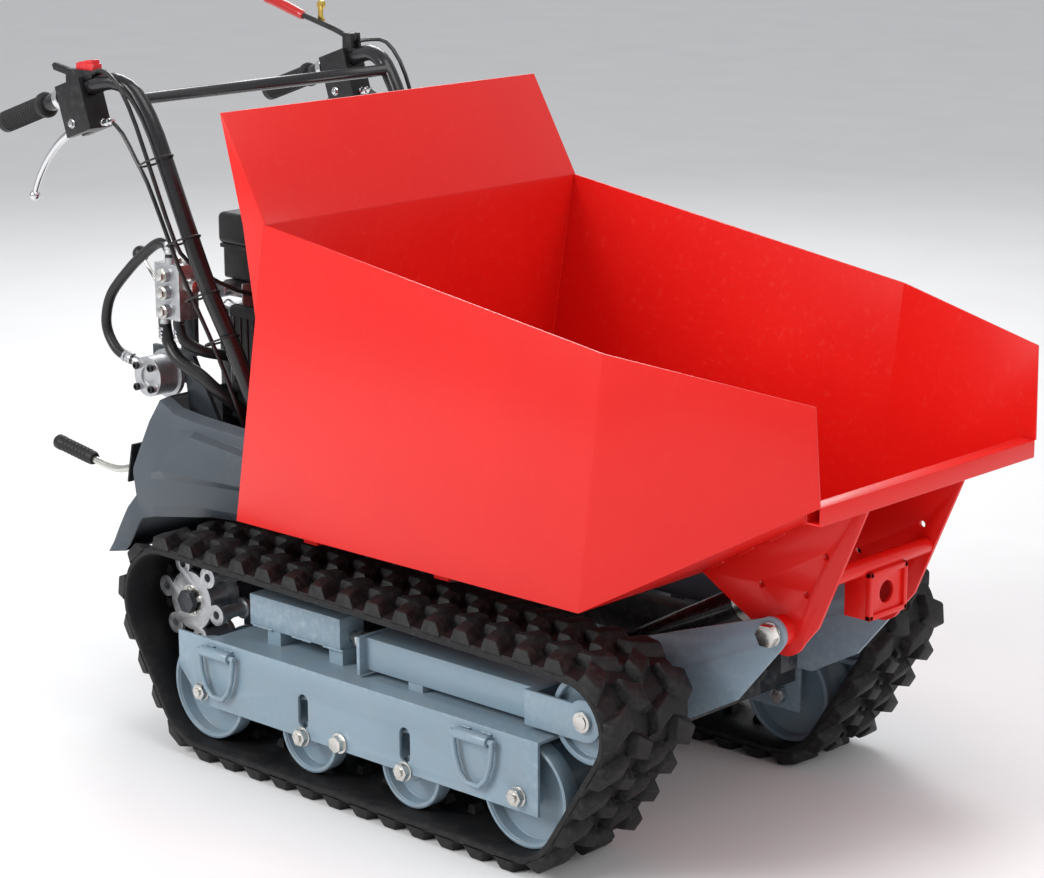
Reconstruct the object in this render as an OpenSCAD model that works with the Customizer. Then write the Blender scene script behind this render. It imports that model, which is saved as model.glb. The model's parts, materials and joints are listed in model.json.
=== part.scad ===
// Tracked power wheelbarrow: a tipping hopper on two rubber tracks, walked from behind.
// +X points to the dump lip, +Y to the operator's left, +Z up. The ground is z = 0.

/* [Hopper] */
// Half width of the hopper over its side walls
hopper_half_w = 344; // [310:1:400]
// Length of the level floor
floor_length = 711; // [620:1:860]
// Length of the ramp, seen from above
ramp_length = 343; // [280:1:420]
// Height that the ramp climbs to the lip
ramp_rise = 194; // [150:1:240]
// Half width of the lip
lip_half_w = 255; // [220:1:300]
// Height of the rear rim above the floor
rear_wall_h = 472; // [390:1:560]
// Distance that the rear rim leans forward
rear_lean = 82; // [40:1:110]
// Height of the rim above the floor where the side wall bends
bend_h = 372; // [320:1:440]
// Distance that the side bend leans forward
bend_lean = 44; // [20:1:70]
// Height of the rim above the lip at the front
front_rim_h = 136; // [100:1:180]
// Distance that the splash board leans back
board_lean = 93; // [60:1:120]
// Height of the splash board above the rear rim
board_h = 159; // [120:1:200]
// Thickness of the hopper sheet
sheet = 3; // [2:0.5:5]
// Size of the square tube under the lip
lip_tube = 26; // [20:1:34]
// Height of the underside of the floor
floor_z = 395; // [385:1:430]

/* [Tipping] */
// Distance of the tipping axis in front of the floor's rear edge
pivot_run = 892; // [860:1:920]
// Drop of the tipping axis below the floor
pivot_drop = 38; // [34:1:50]
// Radius of the two tipping pivot bolts
pivot_r = 10; // [8:0.5:13]
// Distance from the middle to the outer face of a hinge plate
hinge_plate_y = 116; // [100:1:125]
// Thickness of the hinge plates and the pivot plates
plate_t = 6; // [4:0.5:10]
// Radius of the accessory holes in the hinge plates
accessory_hole_r = 5; // [4:0.5:7]
// Outer radius of the cylinder barrel
barrel_r = 27; // [22:1:32]
// Radius of the piston rod
rod_r = 12.5; // [10:0.5:16]
// Radius of the cylinder's end pins
cylinder_pin_r = 9; // [7:0.5:11]

/* [Tracks] */
// Distance between the middles of the two tracks, halved
track_y = 300; // [285:1:330]
// Width of a rubber track
belt_w = 180; // [160:1:200]
// Distance between the end rollers
wheelbase = 682; // [600:1:760]
// Radius of an end roller
end_roller_r = 82; // [70:1:88]
// Radius of a middle roller
mid_roller_r = 62; // [52:1:70]
// Radius that the track bends to over the sprocket
sprocket_bend_r = 86; // [80:1:92]
// Radius that the track bends to over the idler
idler_bend_r = 67; // [60:1:72]
// Height of the sprocket axle
sprocket_z = 236; // [230:1:245]
// Height of the idler axle
idler_z = 240; // [232:1:250]
// Thickness of the track between its lugs
belt_t = 13; // [10:0.5:16]
// Height of the ground lugs
lug_h = 17; // [12:0.5:22]
// Number of links round one track
link_count = 39; // [33:1:45]
// Height of the guide horns inside the track
horn_h = 12; // [8:0.5:14]

/* [Undercarriage] */
// Height of the top face of a track beam
beam_top_z = 201; // [196:1:208]
// Height of the lower edge of a track beam
beam_bottom_z = 89; // [80:1:100]
// Distance between the outer faces of a track beam
beam_w = 142; // [136:1:150]
// Thickness of the plates of a track beam
beam_t = 5; // [4:0.5:8]
// Radius of the roller axle bolts
axle_r = 8; // [6:0.5:10]
// Radius of the wire of a tie-down ring
ring_wire_r = 4.5; // [3.5:0.5:6]

/* [Controls] */
// Radius of the handlebar tube
handle_r = 14; // [12:0.5:16]
// Half distance between the grips' ends
grip_half_w = 292; // [270:1:320]
// Radius of the rubber grips
grip_r = 18; // [16:0.5:21]
// Length of the rubber grips
grip_length = 125; // [110:1:140]
// Radius of the pins that the hand levers turn on
lever_pin_r = 4; // [3:0.5:5]
// Radius of the control cables
cable_r = 3.5; // [3:0.5:4.5]

/* [Hidden] */
$fn = 48;

run_gap = 0.05;
body_gap = 1;

// Hopper corners, as [x, z] in the side view.
floor_rear_x = -220;
floor_front_x = floor_rear_x + floor_length;
lip_x = floor_front_x + ramp_length;
lip_z = floor_z + ramp_rise;
corner_rear = [floor_rear_x, floor_z];
corner_rim = [floor_rear_x + rear_lean, floor_z + rear_wall_h];
corner_bend_low = [floor_front_x, floor_z];
corner_bend_high = [floor_front_x + bend_lean, floor_z + bend_h];
corner_lip = [lip_x, lip_z];
corner_front = [lip_x - 6, lip_z + front_rim_h];
corner_board = [corner_rim[0] - board_lean, corner_rim[1] + board_h];
ramp_angle = atan2(ramp_rise, ramp_length);
ramp_run = ramp_length - lip_tube;
sheet_x = sheet / cos(atan2(rear_lean, rear_wall_h));
function ramp_z(x) = floor_z + (x - floor_front_x) * tan(ramp_angle);

// Tipping pivot and the cylinder's two pins.
pivot = [floor_rear_x + pivot_run, floor_z - pivot_drop];
boss_r = 22;
pivot_plate_y = hinge_plate_y + 23;
barrel_pin = [250, 195];
rod_pin = [pivot[0] - 102, pivot[1] + 11];
cylinder_vector = rod_pin - barrel_pin;
cylinder_angle = atan2(cylinder_vector[1], cylinder_vector[0]);
cylinder_length = norm(cylinder_vector);

// Tracks: the belt's inner face runs over four circles, [x, z, radius], anticlockwise.
rear_roller_x = -280;
front_roller_x = rear_roller_x + wheelbase;
tread_t = belt_t + lug_h;
end_roller_z = tread_t + end_roller_r;
mid_roller_z = tread_t + mid_roller_r;
mid_roller_xs = [rear_roller_x + wheelbase * 0.34, rear_roller_x + wheelbase * 0.663];
roller_xs = [rear_roller_x, mid_roller_xs[0], mid_roller_xs[1], front_roller_x];
sprocket_x = rear_roller_x - 72;
idler_x = front_roller_x + 99;
belt_circles = [[idler_x, idler_z, idler_bend_r], [sprocket_x, sprocket_z, sprocket_bend_r],
    [rear_roller_x, end_roller_z, end_roller_r], [front_roller_x, end_roller_z, end_roller_r]];
circle_count = len(belt_circles);

// Outward direction of the straight run from circle i to the next one, in degrees.
function run_normal(i) = let (
        a = belt_circles[i % circle_count],
        b = belt_circles[(i + 1) % circle_count],
        d = [b[0] - a[0], b[1] - a[1]])
    atan2(d[1], d[0]) - acos((a[2] - b[2]) / norm(d));
function turn(from, to) = (to - from + 720) % 360;
function arc_length(i) = belt_circles[i][2]
    * turn(run_normal(i + circle_count - 1), run_normal(i)) * PI / 180;
function run_length(i) = let (
        a = belt_circles[i],
        b = belt_circles[(i + 1) % circle_count])
    sqrt(pow(norm([b[0] - a[0], b[1] - a[1]]), 2) - pow(a[2] - b[2], 2));
function belt_length(i = 0) = i == circle_count ? 0
    : arc_length(i) + run_length(i) + belt_length(i + 1);

// Point at distance s round the belt's inner face, lifted outwards by t.
function belt_point(s, t, i = 0) = let (c = belt_circles[i])
    s <= arc_length(i)
        ? let (a = run_normal(i + circle_count - 1) + s / c[2] * 180 / PI)
            [c[0] + (c[2] + t) * cos(a), c[1] + (c[2] + t) * sin(a)]
    : s <= arc_length(i) + run_length(i) || i == circle_count - 1
        ? let (a = run_normal(i), d = s - arc_length(i))
            [c[0] + (c[2] + t) * cos(a) - d * sin(a), c[1] + (c[2] + t) * sin(a) + d * cos(a)]
    : belt_point(s - arc_length(i) - run_length(i), t, i + 1);
inner_length = belt_length();
link = inner_length / link_count;
// Shares of one link, and of the lug's height, at a lug's corners.
lug_steps = [[0.10, -0.15], [0.22, 1], [0.50, 1], [0.62, -0.15]];
lug_gap = 4;
// Gaps that the front panels' welds and the handle clamps' liners fill.
weld_gap = 0.3;
clamp_gap = 0.8;

// Track beams.
beam_outer = track_y + beam_w / 2;
beam_inner = track_y - beam_w / 2;
beam_rear_x = rear_roller_x - 57;
beam_front_x = front_roller_x + 37;
beam_top_x = sprocket_x + sprocket_bend_r + 3;
roller_half_w = beam_w / 2 - beam_t - 8;
horn_w = 22;
ring_xs = [rear_roller_x + 43, front_roller_x - 82];
ring_z = beam_top_z - 18;
ring_sleeve_r = 9;
ring_y = beam_outer + ring_sleeve_r;
sprocket_tip_r = sprocket_bend_r - 7;
sprocket_half_w = 30;
slide_z = idler_z - 3;

// Chassis.
rail_y = pivot_plate_y - 40;
rail_w = 40;
rail_top_z = 260;
rail_bottom_z = 200;
rail_rear_x = sprocket_x + 40;
cross_xs = [rear_roller_x + 120, front_roller_x - 32];
deck_z = 455;
deck_t = 6;
head_top = deck_z + deck_t + 262;
gearbox_top = 324;
boss_outer_r = 52;
valve_at = [-476, -235, 709];
pump_at = [-526, -235, 564];
pump_back = -215;
lever_gap = 0.4;

// Handlebar route on the left side; the right side is its mirror image.
handle_route = [[-831, grip_half_w, 956], [-713, 290, 996], [-620, 288.5, 1027.5],
    [-588, 287.5, 1037], [-556, 283, 1043], [-525, 277, 1034], [-500, 273, 1010], [-471, 270, 962],
    [-430, 266, 868], [-400, 260, 790], [-372, 250, 712], [-345, 235, 640],
    [-327, 215, 560], [-318, 190, 480], [-318, 168, 400], [-318, 153, 300]];
handle_end = handle_route[len(handle_route) - 1];
grip_dir = (handle_route[1] - handle_route[0]) / norm(handle_route[1] - handle_route[0]);
handle_pitch = atan2(grip_dir[2], grip_dir[0]);
function on_grip(d) = handle_route[0] + grip_dir * d;
housing_at = on_grip(205);
lever_pivot = housing_at + [6, 0, -50];
clutch_pivot = on_grip(232) + [0, 0, 34];
catch_pivot = [clutch_pivot[0] - 84, clutch_pivot[2] + 24];
switch_at = [-616, -284, 1062];
throttle_at = [on_grip(190)[0], -on_grip(190)[1], on_grip(190)[2] + 33];
gear_y = -240;
gear_pivot = [-470, 415];
valve_lever_y = valve_at[1] + 20;
valve_pivot = [valve_at[0] - 54, valve_at[2] - 18];

// Straight helpers.
function unit(v) = v / norm(v);
function tangent(p, i) = let (n = len(p) - 1)
    i == 0 ? unit(p[1] - p[0])
    : i == n ? unit(p[n] - p[n - 1])
    : unit(unit(p[i + 1] - p[i]) + unit(p[i] - p[i - 1]));
function frames(p, u, i = 0) = i == len(p) ? []
    : let (t = tangent(p, i), v = unit(u - (u * t) * t)) concat([v], frames(p, v, i + 1));
// Points of a smooth curve through p, with n steps between neighbours.
function smooth(p, n = 3) = concat(
    [for (i = [0 : len(p) - 2], k = [0 : n - 1])
        let (a = p[max(i - 1, 0)], b = p[i], c = p[i + 1], d = p[min(i + 2, len(p) - 1)], t = k / n)
        0.5 * (2 * b + (c - a) * t + (2 * a - 5 * b + 4 * c - d) * t * t
            + (3 * b - a - 3 * c + d) * t * t * t)],
    [p[len(p) - 1]]);
function mirrored(p) = [for (q = p) [q[0], -q[1], q[2]]];

// Round bar of radius r along the points of path.
module bar(path, r, sides = 12) {
    n = len(path);
    across = frames(path, [0.123, 1, 0.087]);
    points = [for (i = [0 : n - 1], k = [0 : sides - 1])
        let (t = tangent(path, i), a = 360 * k / sides)
        path[i] + r * (cos(a) * across[i] + sin(a) * cross(t, across[i]))];
    walls = [for (i = [0 : n - 2], k = [0 : sides - 1])
        let (m = (k + 1) % sides)
        [i * sides + m, i * sides + k, (i + 1) * sides + k, (i + 1) * sides + m]];
    start = [[for (k = [0 : sides - 1]) k]];
    end = [[for (k = [sides - 1 : -1 : 0]) (n - 1) * sides + k]];
    polyhedron(points, concat(walls, start, end), convexity = 4);
}

// Prism whose side view is the polygon of [x, z] points, from y0 to y1.
module side_plate(points, y0, y1) {
    translate([0, y1, 0]) rotate([90, 0, 0]) linear_extrude(y1 - y0) polygon(points);
}

module block(low, high) {
    translate(low) cube(high - low);
}

// Cylinder along Y, from y0 to y1, through the side-view point at.
module pin_y(at, y0, y1, r) {
    translate([at[0], y1, at[1]]) rotate([90, 0, 0]) cylinder(r = r, h = y1 - y0);
}

// Turned knob of radius r along Y, half wide on each side of at, with coned edges.
module knob_y(at, r, half) {
    cone = half * 0.45;
    translate([at[0], at[1] + half, at[2]]) rotate([90, 0, 0]) {
        cylinder(r1 = r * 0.68, r2 = r, h = cone);
        translate([0, 0, cone]) cylinder(r = r, h = 2 * (half - cone));
        translate([0, 0, 2 * half - cone]) cylinder(r1 = r, r2 = r * 0.68, h = cone);
    }
}

module rod_between(a, b, r) {
    d = b - a;
    translate(a) rotate([0, acos(d[2] / norm(d)), atan2(d[1], d[0])]) cylinder(r = r, h = norm(d));
}

module hex_y(at, y0, y1, across) {
    translate([at[0], y1, at[1]]) rotate([90, 0, 0]) cylinder(d = across / cos(30), h = y1 - y0, $fn = 6);
}

module on_right() {
    mirror([0, 1, 0]) children();
}

module both_sides() {
    children();
    on_right() children();
}

// ---- Hopper ----

// Outward normal of the front panel on the left side.
front_low = [corner_bend_low[0], hopper_half_w, corner_bend_low[1]];
front_high = [corner_bend_high[0], hopper_half_w, corner_bend_high[1]];
front_lip = [corner_lip[0], lip_half_w, corner_lip[1]];
front_normal = unit(cross(front_lip - front_low, front_high - front_low));
out_normal = front_normal[1] < 0 ? -front_normal : front_normal;
// Depth of the front panel across the machine, with room for the weld.
panel_in = sheet / out_normal[1] + weld_gap;

module hopper_floor() {
    color("red") {
        inner = hopper_half_w - sheet;
        ramp_inner = hopper_half_w - panel_in;
        narrowing = (hopper_half_w - lip_half_w) * ramp_run / ramp_length;
        ramp_end_x = floor_front_x + ramp_run;
        rise = sheet / cos(ramp_angle);
        intersection() {
            side_plate([[floor_rear_x, floor_z], [floor_front_x, floor_z], [ramp_end_x, ramp_z(ramp_end_x)],
                [ramp_end_x, ramp_z(ramp_end_x) + rise],
                [floor_front_x + (sheet - rise) / tan(ramp_angle), floor_z + sheet],
                [floor_rear_x, floor_z + sheet]], -inner, inner);
            translate([0, 0, floor_z - sheet]) linear_extrude(lip_z) polygon([
                [floor_rear_x - sheet, -inner], [floor_front_x, -ramp_inner],
                [ramp_end_x, narrowing - ramp_inner], [ramp_end_x, ramp_inner - narrowing],
                [floor_front_x, ramp_inner], [floor_rear_x - sheet, inner]]);
        }
        for (x = [floor_rear_x + 120, floor_rear_x + 400])
            block([x, -hopper_half_w + 30, floor_z - 18], [x + 30, hopper_half_w - 30, floor_z + 1]);
    }
}

module hopper_side() {
    color("red") {
        side_plate([corner_rear, corner_bend_low, corner_bend_high, corner_rim],
            hopper_half_w - sheet, hopper_half_w);
        intersection() {
            side_plate([corner_bend_low, corner_lip, corner_front, corner_bend_high],
                lip_half_w - 60, hopper_half_w + 10);
            translate(front_low)
                rotate([0, acos(out_normal[2]), atan2(out_normal[1], out_normal[0])])
                translate([-700, -700, -sheet]) cube([1400, 1400, sheet]);
        }
    }
}

module hopper_side_left() {
    hopper_side();
}

module hopper_side_right() {
    on_right() hopper_side();
}

module hopper_rear_wall() {
    color("red") side_plate([corner_rear + [0, sheet], corner_rear + [sheet_x, sheet],
        corner_rim + [sheet_x, 0], corner_rim], -hopper_half_w + sheet, hopper_half_w - sheet);
}

module splash_board() {
    color("red") {
        side_plate([corner_rim, corner_rim + [sheet_x, 0], corner_board + [sheet_x, 0], corner_board],
            -hopper_half_w, hopper_half_w);
        gusset_low = [floor_rear_x + rear_lean * 0.69, floor_z + rear_wall_h * 0.69];
        both_sides() side_plate([corner_board, corner_rim + [-48, -6], gusset_low, corner_rim],
            hopper_half_w - sheet, hopper_half_w);
    }
}

module lip_tube() {
    half = lip_half_w - panel_in;
    color("red") difference() {
        block([lip_x - lip_tube, -half, lip_z - lip_tube], [lip_x, half, lip_z]);
        block([lip_x - lip_tube + sheet, -half - 1, lip_z - lip_tube + sheet],
            [lip_x - sheet, half + 1, lip_z - sheet]);
    }
}

accessory_holes = [pivot + [-41, 58], pivot + [70, 119], pivot + [38, 58]];

module hinge_plates() {
    top_rear = [pivot[0] - 150, ramp_z(pivot[0] - 150)];
    top_front = [lip_x - lip_tube, ramp_z(lip_x - lip_tube)];
    color("red") both_sides() difference() {
        union() {
            side_plate([top_rear, pivot + [-90, 20], pivot + [-36, -10], pivot + [34, -16],
                pivot + [59, 14], [lip_x - lip_tube, lip_z - 39], top_front],
                hinge_plate_y - plate_t, hinge_plate_y);
            pin_y(pivot, hinge_plate_y - plate_t, hinge_plate_y, 38);
            pin_y(pivot, hinge_plate_y - plate_t - 4, pivot_plate_y - body_gap, boss_r);
        }
        pin_y(pivot, 60, 200, pivot_r + run_gap);
        for (hole = accessory_holes) pin_y(hole, 60, 200, accessory_hole_r);
    }
}

// Two hanging plates with level slots that the rod's cross pin floats in.
hanger_y = 22;
slot_half = 13.5;
slot_r = 11.8;

module cylinder_hanger() {
    slot_mid = rod_pin + [0, -1.7];
    color("red") both_sides() difference() {
        side_plate([rod_pin + [-42, -20], rod_pin + [42, -20], [rod_pin[0] + 62, ramp_z(rod_pin[0] + 62)],
            [rod_pin[0] - 62, ramp_z(rod_pin[0] - 62)]], hanger_y, hanger_y + 10);
        for (dx = [-slot_half, slot_half]) pin_y(slot_mid + [dx, 0], 0, 60, slot_r);
        block([slot_mid[0] - slot_half, 0, slot_mid[1] - slot_r],
            [slot_mid[0] + slot_half, 60, slot_mid[1] + slot_r]);
    }
}

module stop_bracket() {
    inner = hinge_plate_y - plate_t;
    color("red") {
        rod_between([pivot[0] + 78, -inner, pivot[1] + 90], [pivot[0] + 78, inner, pivot[1] + 90], 12);
        difference() {
            block([pivot[0] + 48, -42, pivot[1] + 14], [pivot[0] + 90, 42, pivot[1] + 84]);
            block([pivot[0] + 40, -36, pivot[1] + 20], [pivot[0] + 84, 36, pivot[1] + 78]);
            translate([pivot[0] + 80, 0, pivot[1] + 48]) rotate([0, 90, 0]) cylinder(r = 16, h = 20);
        }
    }
}

// ---- Chassis ----

module chassis_frame() {
    color("dimgray") {
        both_sides() {
            block([rail_rear_x, rail_y, rail_bottom_z], [pivot[0] - 170, rail_y + rail_w, rail_top_z]);
            block([floor_rear_x + 60, rail_y + 5, rail_top_z], [floor_rear_x + 100, rail_y + 35, floor_z - 34]);
        }
        for (x = cross_xs)
            block([x, -beam_inner, rail_bottom_z - 60], [x + 60, beam_inner, rail_bottom_z]);
        difference() {
            block([rail_rear_x - 6, -rail_y - rail_w, 150], [rail_rear_x, rail_y + rail_w, 324]);
            both_sides() pin_y([sprocket_x, sprocket_z], 77, 99, boss_outer_r + 2);
        }
        // Shoes that the handlebar's ends are welded to.
        both_sides() block([handle_end[0] - 18, rail_y + rail_w - 5, handle_end[2] - 16],
            [handle_end[0] + 18, handle_end[1] + 19, handle_end[2] - 2]);
        difference() {
            both_sides() block([barrel_pin[0] - 30, 28, 160], [barrel_pin[0] + 30, 38, 230]);
            pin_y(barrel_pin, -60, 60, cylinder_pin_r + run_gap);
        }
        block([barrel_pin[0] - 30, -rail_y, 150], [barrel_pin[0] + 30, rail_y, 160]);
        both_sides() block([barrel_pin[0] - 30, rail_y - 6, 150], [barrel_pin[0] + 30, rail_y, 210]);
        block([-505, -150, deck_z], [-246, 150, deck_z + deck_t]);
        both_sides() for (x = [-480, -300]) block([x, 96, gearbox_top + deck_t], [x + 30, 120, deck_z]);
        both_sides() for (x = [-480, -300]) block([x, 120, 440], [x + 30, cover_y - cover_t, 446]);
        block([-486, -120, gearbox_top], [-264, 120, gearbox_top + deck_t]);
        side_plate([[-470, deck_z], [-380, deck_z], [-470, 606], [-566, 606], [-566, 560], [-484, 552]],
            pump_back, pump_back + 8);
        block([-470, pump_back, deck_z], [-380, -140, deck_z + deck_t]);
        block([gear_pivot[0] - 12, gear_y + 8, gear_pivot[1] - 16], [gear_pivot[0] + 12, gear_y + 16, deck_z]);
        block([gear_pivot[0] - 12, gear_y + 8, deck_z], [gear_pivot[0] + 12, -140, deck_z + deck_t]);
        pin_y(gear_pivot, gear_y - 10, gear_y + 8, 8);
        block([valve_at[0] - 18, pump_back, 600], [valve_at[0] + 18, pump_back + 8, valve_at[2] + 40]);
    }
}

module pivot_plates() {
    color("lightslategray") both_sides() difference() {
        union() {
            side_plate([[360, rail_bottom_z], [pivot[0] - 143, rail_bottom_z], [pivot[0] - 60, 246],
                pivot + [18, -18], pivot + [-4, 24], [pivot[0] - 233, 303], [360, 270]],
                pivot_plate_y, pivot_plate_y + plate_t);
            pin_y(pivot, pivot_plate_y, pivot_plate_y + plate_t, 25);
        }
        pin_y(pivot, 60, 200, pivot_r + run_gap);
    }
}

module pivot_bolts() {
    face = pivot_plate_y + plate_t;
    color("silver") pin_y(barrel_pin, -46, 46, cylinder_pin_r);
    color("silver") both_sides() {
        pin_y(pivot, hinge_plate_y - plate_t - 12, face + 3, pivot_r);
        pin_y(pivot, face, face + 3, pivot_r + 8);
        hex_y(pivot, face + 3, face + 15, 30);
    }
}

module rest_buffers() {
    color("black") both_sides() translate([floor_rear_x + 80, rail_y + 20, floor_z - 34])
        cylinder(r = 14, h = 34 - 0.4);
}

// ---- Undercarriage ----

module track_beam() {
    inner = beam_inner;
    color("lightslategray") {
        difference() {
            union() {
                block([beam_rear_x, beam_outer - beam_t, beam_bottom_z], [beam_front_x, beam_outer, beam_top_z]);
                block([beam_rear_x, inner, beam_bottom_z], [beam_front_x, inner + beam_t, beam_top_z]);
                block([beam_top_x, inner, beam_top_z - beam_t], [beam_front_x, beam_outer, beam_top_z]);
            }
            side_plate([[beam_rear_x - 1, beam_bottom_z - 1], [beam_rear_x + 52, beam_bottom_z - 1],
                [beam_rear_x - 1, beam_bottom_z + 54]], inner - 1, beam_outer + 1);
            for (x = [rear_roller_x, front_roller_x]) pin_y([x, end_roller_z], 100, 500, axle_r + run_gap);
            for (x = mid_roller_xs) {
                pin_y([x, mid_roller_z], 100, 500, axle_r + run_gap);
                pin_y([x, mid_roller_z + 56], 100, 500, 11);
                block([x - 11, 100, mid_roller_z + 24], [x + 11, 500, mid_roller_z + 56]);
                pin_y([x, mid_roller_z + 24], 100, 500, 11);
            }
        }
        for (x = [rear_roller_x + 100, rear_roller_x + 240])
            block([x, track_y - 22, beam_top_z], [x + 30, track_y + 22, slide_z - 12]);
        block([rear_roller_x + 64, track_y - 25, slide_z - 12], [rear_roller_x + 268, track_y + 25, slide_z + 38]);
        block([rear_roller_x + 420, track_y - 30, beam_top_z], [rear_roller_x + 450, track_y + 30, slide_z - 25]);
        for (x = ring_xs) difference() {
            union() {
                translate([x - 32, ring_y, ring_z]) rotate([0, 90, 0]) cylinder(r = ring_sleeve_r, h = 64);
                block([x - 32, beam_outer, ring_z - 5], [x + 32, ring_y, ring_z + 5]);
            }
            translate([x - 60, ring_y, ring_z]) rotate([0, 90, 0]) cylinder(r = ring_wire_r + run_gap, h = 120);
        }
    }
}

module track_beam_left() {
    track_beam();
}

module track_beam_right() {
    on_right() track_beam();
}

fork_x = idler_x - 113;
fork_gap = 38;

module idler_slides() {
    color("lightslategray") both_sides() {
        block([rear_roller_x + 325, track_y - 45, slide_z - 32], [rear_roller_x + 332, track_y + 45, slide_z + 28]);
        block([rear_roller_x + 332, track_y - 30, slide_z - 25], [fork_x, track_y + 30, slide_z + 25]);
        block([fork_x, track_y - fork_gap - 6, slide_z - 28], [fork_x + 20, track_y + fork_gap + 6, slide_z + 25]);
        for (y = [track_y - fork_gap - 6, track_y + fork_gap]) difference() {
            union() {
                block([fork_x + 20, y, slide_z - 28], [idler_x, y + 6, slide_z + 25]);
                pin_y([idler_x, idler_z], y, y + 6, 31);
            }
            pin_y([idler_x, idler_z], 100, 500, axle_r + 2 + run_gap);
        }
    }
}

module tension_screws() {
    color("silver") both_sides() {
        rod_between([rear_roller_x + 268, track_y, slide_z + 5], [rear_roller_x + 325, track_y, slide_z + 5], 8);
        translate([rear_roller_x + 286, track_y, slide_z + 5]) rotate([0, 90, 0])
            cylinder(d = 30, h = 12, $fn = 6);
    }
}

module roller_axles() {
    color("silver") both_sides() {
        for (k = [0 : 3]) {
            z = k == 0 || k == 3 ? end_roller_z : mid_roller_z;
            at = [roller_xs[k], z];
            pin_y(at, beam_inner - 12, beam_outer + 2.5, axle_r);
            pin_y(at, beam_outer, beam_outer + 2.5, axle_r + 7);
            hex_y(at, beam_outer + 2.5, beam_outer + 12, 24);
            hex_y(at, beam_inner - 12, beam_inner, 24);
        }
        at = [idler_x, idler_z];
        pin_y(at, track_y - fork_gap - 14, track_y + fork_gap + 14, axle_r + 2);
        pin_y(at, track_y + fork_gap + 6, track_y + fork_gap + 12, axle_r + 7);
    }
}

function belt_ring(out) = [for (k = [0 : link_count * 4 - 1]) belt_point(k * link / 4, out)];

// One column of ground lugs from y0 to y1.
module lug_column(y0, y1, phase) {
    for (k = [0 : link_count - 1])
        side_plate([for (step = lug_steps)
            belt_point(((k + step[0] + phase) % link_count) * link, belt_t + lug_h * step[1])], y0, y1);
}

module track_belt() {
    low = track_y - belt_w / 2;
    high = track_y + belt_w / 2;
    color("black") {
        translate([0, high, 0]) rotate([90, 0, 0]) linear_extrude(belt_w) difference() {
            polygon(belt_ring(belt_t));
            polygon(belt_ring(0));
        }
        lug_column(low + 1, low + belt_w * 0.3, 0);
        lug_column(low + belt_w * 0.3 + lug_gap, high - belt_w * 0.3 - lug_gap, 0.5);
        lug_column(high - belt_w * 0.3, high - 1, 0);
        for (k = [0 : link_count - 1]) {
            s = (k + 0.35) * link;
            side_plate([belt_point(s - 9, 2), belt_point(s + 9, 2), belt_point(s + 5, -horn_h),
                belt_point(s - 5, -horn_h)], track_y - horn_w / 2, track_y + horn_w / 2);
        }
    }
}

module track_belt_left() {
    track_belt();
}

module track_belt_right() {
    on_right() track_belt();
}

// Two star plates joined by round bars, on a hub.
sprocket_bars = 6;

module sprocket() {
    bar_r = 8;
    bar_at = sprocket_tip_r - 18;
    at = [sprocket_x, sprocket_z];
    color("silver") difference() {
        union() {
            pin_y(at, track_y - sprocket_half_w, track_y + sprocket_half_w - 12, 30);
            for (y = [track_y - sprocket_half_w, track_y + sprocket_half_w - 7]) {
                pin_y(at, y, y + 7, 48);
                for (k = [0 : sprocket_bars - 1])
                    translate([at[0], 0, at[1]]) rotate([0, 60 * k + 12, 0]) {
                        pin_y([bar_at, 0], y, y + 7, 17);
                        block([30, y, -11], [bar_at, y + 7, 11]);
                    }
            }
            for (k = [0 : sprocket_bars - 1])
                translate([at[0], 0, at[1]]) rotate([0, 60 * k + 12, 0])
                    pin_y([bar_at, 0], track_y - sprocket_half_w, track_y + sprocket_half_w, bar_r + 3);
        }
        for (k = [0 : sprocket_bars - 1])
            translate([at[0], 0, at[1]]) rotate([0, 60 * k + 12, 0])
                pin_y([bar_at, 0], 100, 500, bar_r - 1);
        pin_y(at, 100, track_y + sprocket_half_w + 1, 15);
    }
}

module sprocket_left() {
    sprocket();
}

module sprocket_right() {
    on_right() sprocket();
}

module idler() {
    at = [idler_x, idler_z];
    half = fork_gap - 2;
    r = idler_bend_r - body_gap;
    color("lightslategray") difference() {
        pin_y(at, track_y - half, track_y + half, r);
        difference() {
            pin_y(at, track_y - horn_w / 2 - 4, track_y + horn_w / 2 + 4, r + 1);
            pin_y(at, track_y - horn_w, track_y + horn_w, r - 16);
        }
        for (y = [track_y - half - 1, track_y + half - 11]) difference() {
            pin_y(at, y, y + 12, r - 9);
            pin_y(at, y - 1, y + 14, 20);
        }
        pin_y(at, 100, 500, axle_r + 2 + run_gap);
    }
}

module idler_left() {
    idler();
}

module idler_right() {
    on_right() idler();
}

module roller(k) {
    end = k == 0 || k == 3;
    z = end ? end_roller_z : mid_roller_z;
    r = (end ? end_roller_r : mid_roller_r) - body_gap;
    groove = sprocket_half_w + 3;
    dish = roller_half_w - groove - 5;
    at = [roller_xs[k], z];
    color("lightslategray") difference() {
        pin_y(at, track_y - roller_half_w, track_y + roller_half_w, r);
        difference() {
            pin_y(at, track_y - groove, track_y + groove, r + 1);
            pin_y(at, track_y - groove - 1, track_y + groove + 1, r - 18);
        }
        for (y = [track_y - roller_half_w - 1, track_y + roller_half_w - dish]) difference() {
            pin_y(at, y, y + dish + 1, r - 8);
            pin_y(at, y - 1, y + dish + 3, 20);
        }
        pin_y(at, 100, 500, axle_r + run_gap);
    }
}

module roller_left_1() { roller(0); }
module roller_left_2() { roller(1); }
module roller_left_3() { roller(2); }
module roller_left_4() { roller(3); }
module roller_right_1() { on_right() roller(0); }
module roller_right_2() { on_right() roller(1); }
module roller_right_3() { on_right() roller(2); }
module roller_right_4() { on_right() roller(3); }

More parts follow.
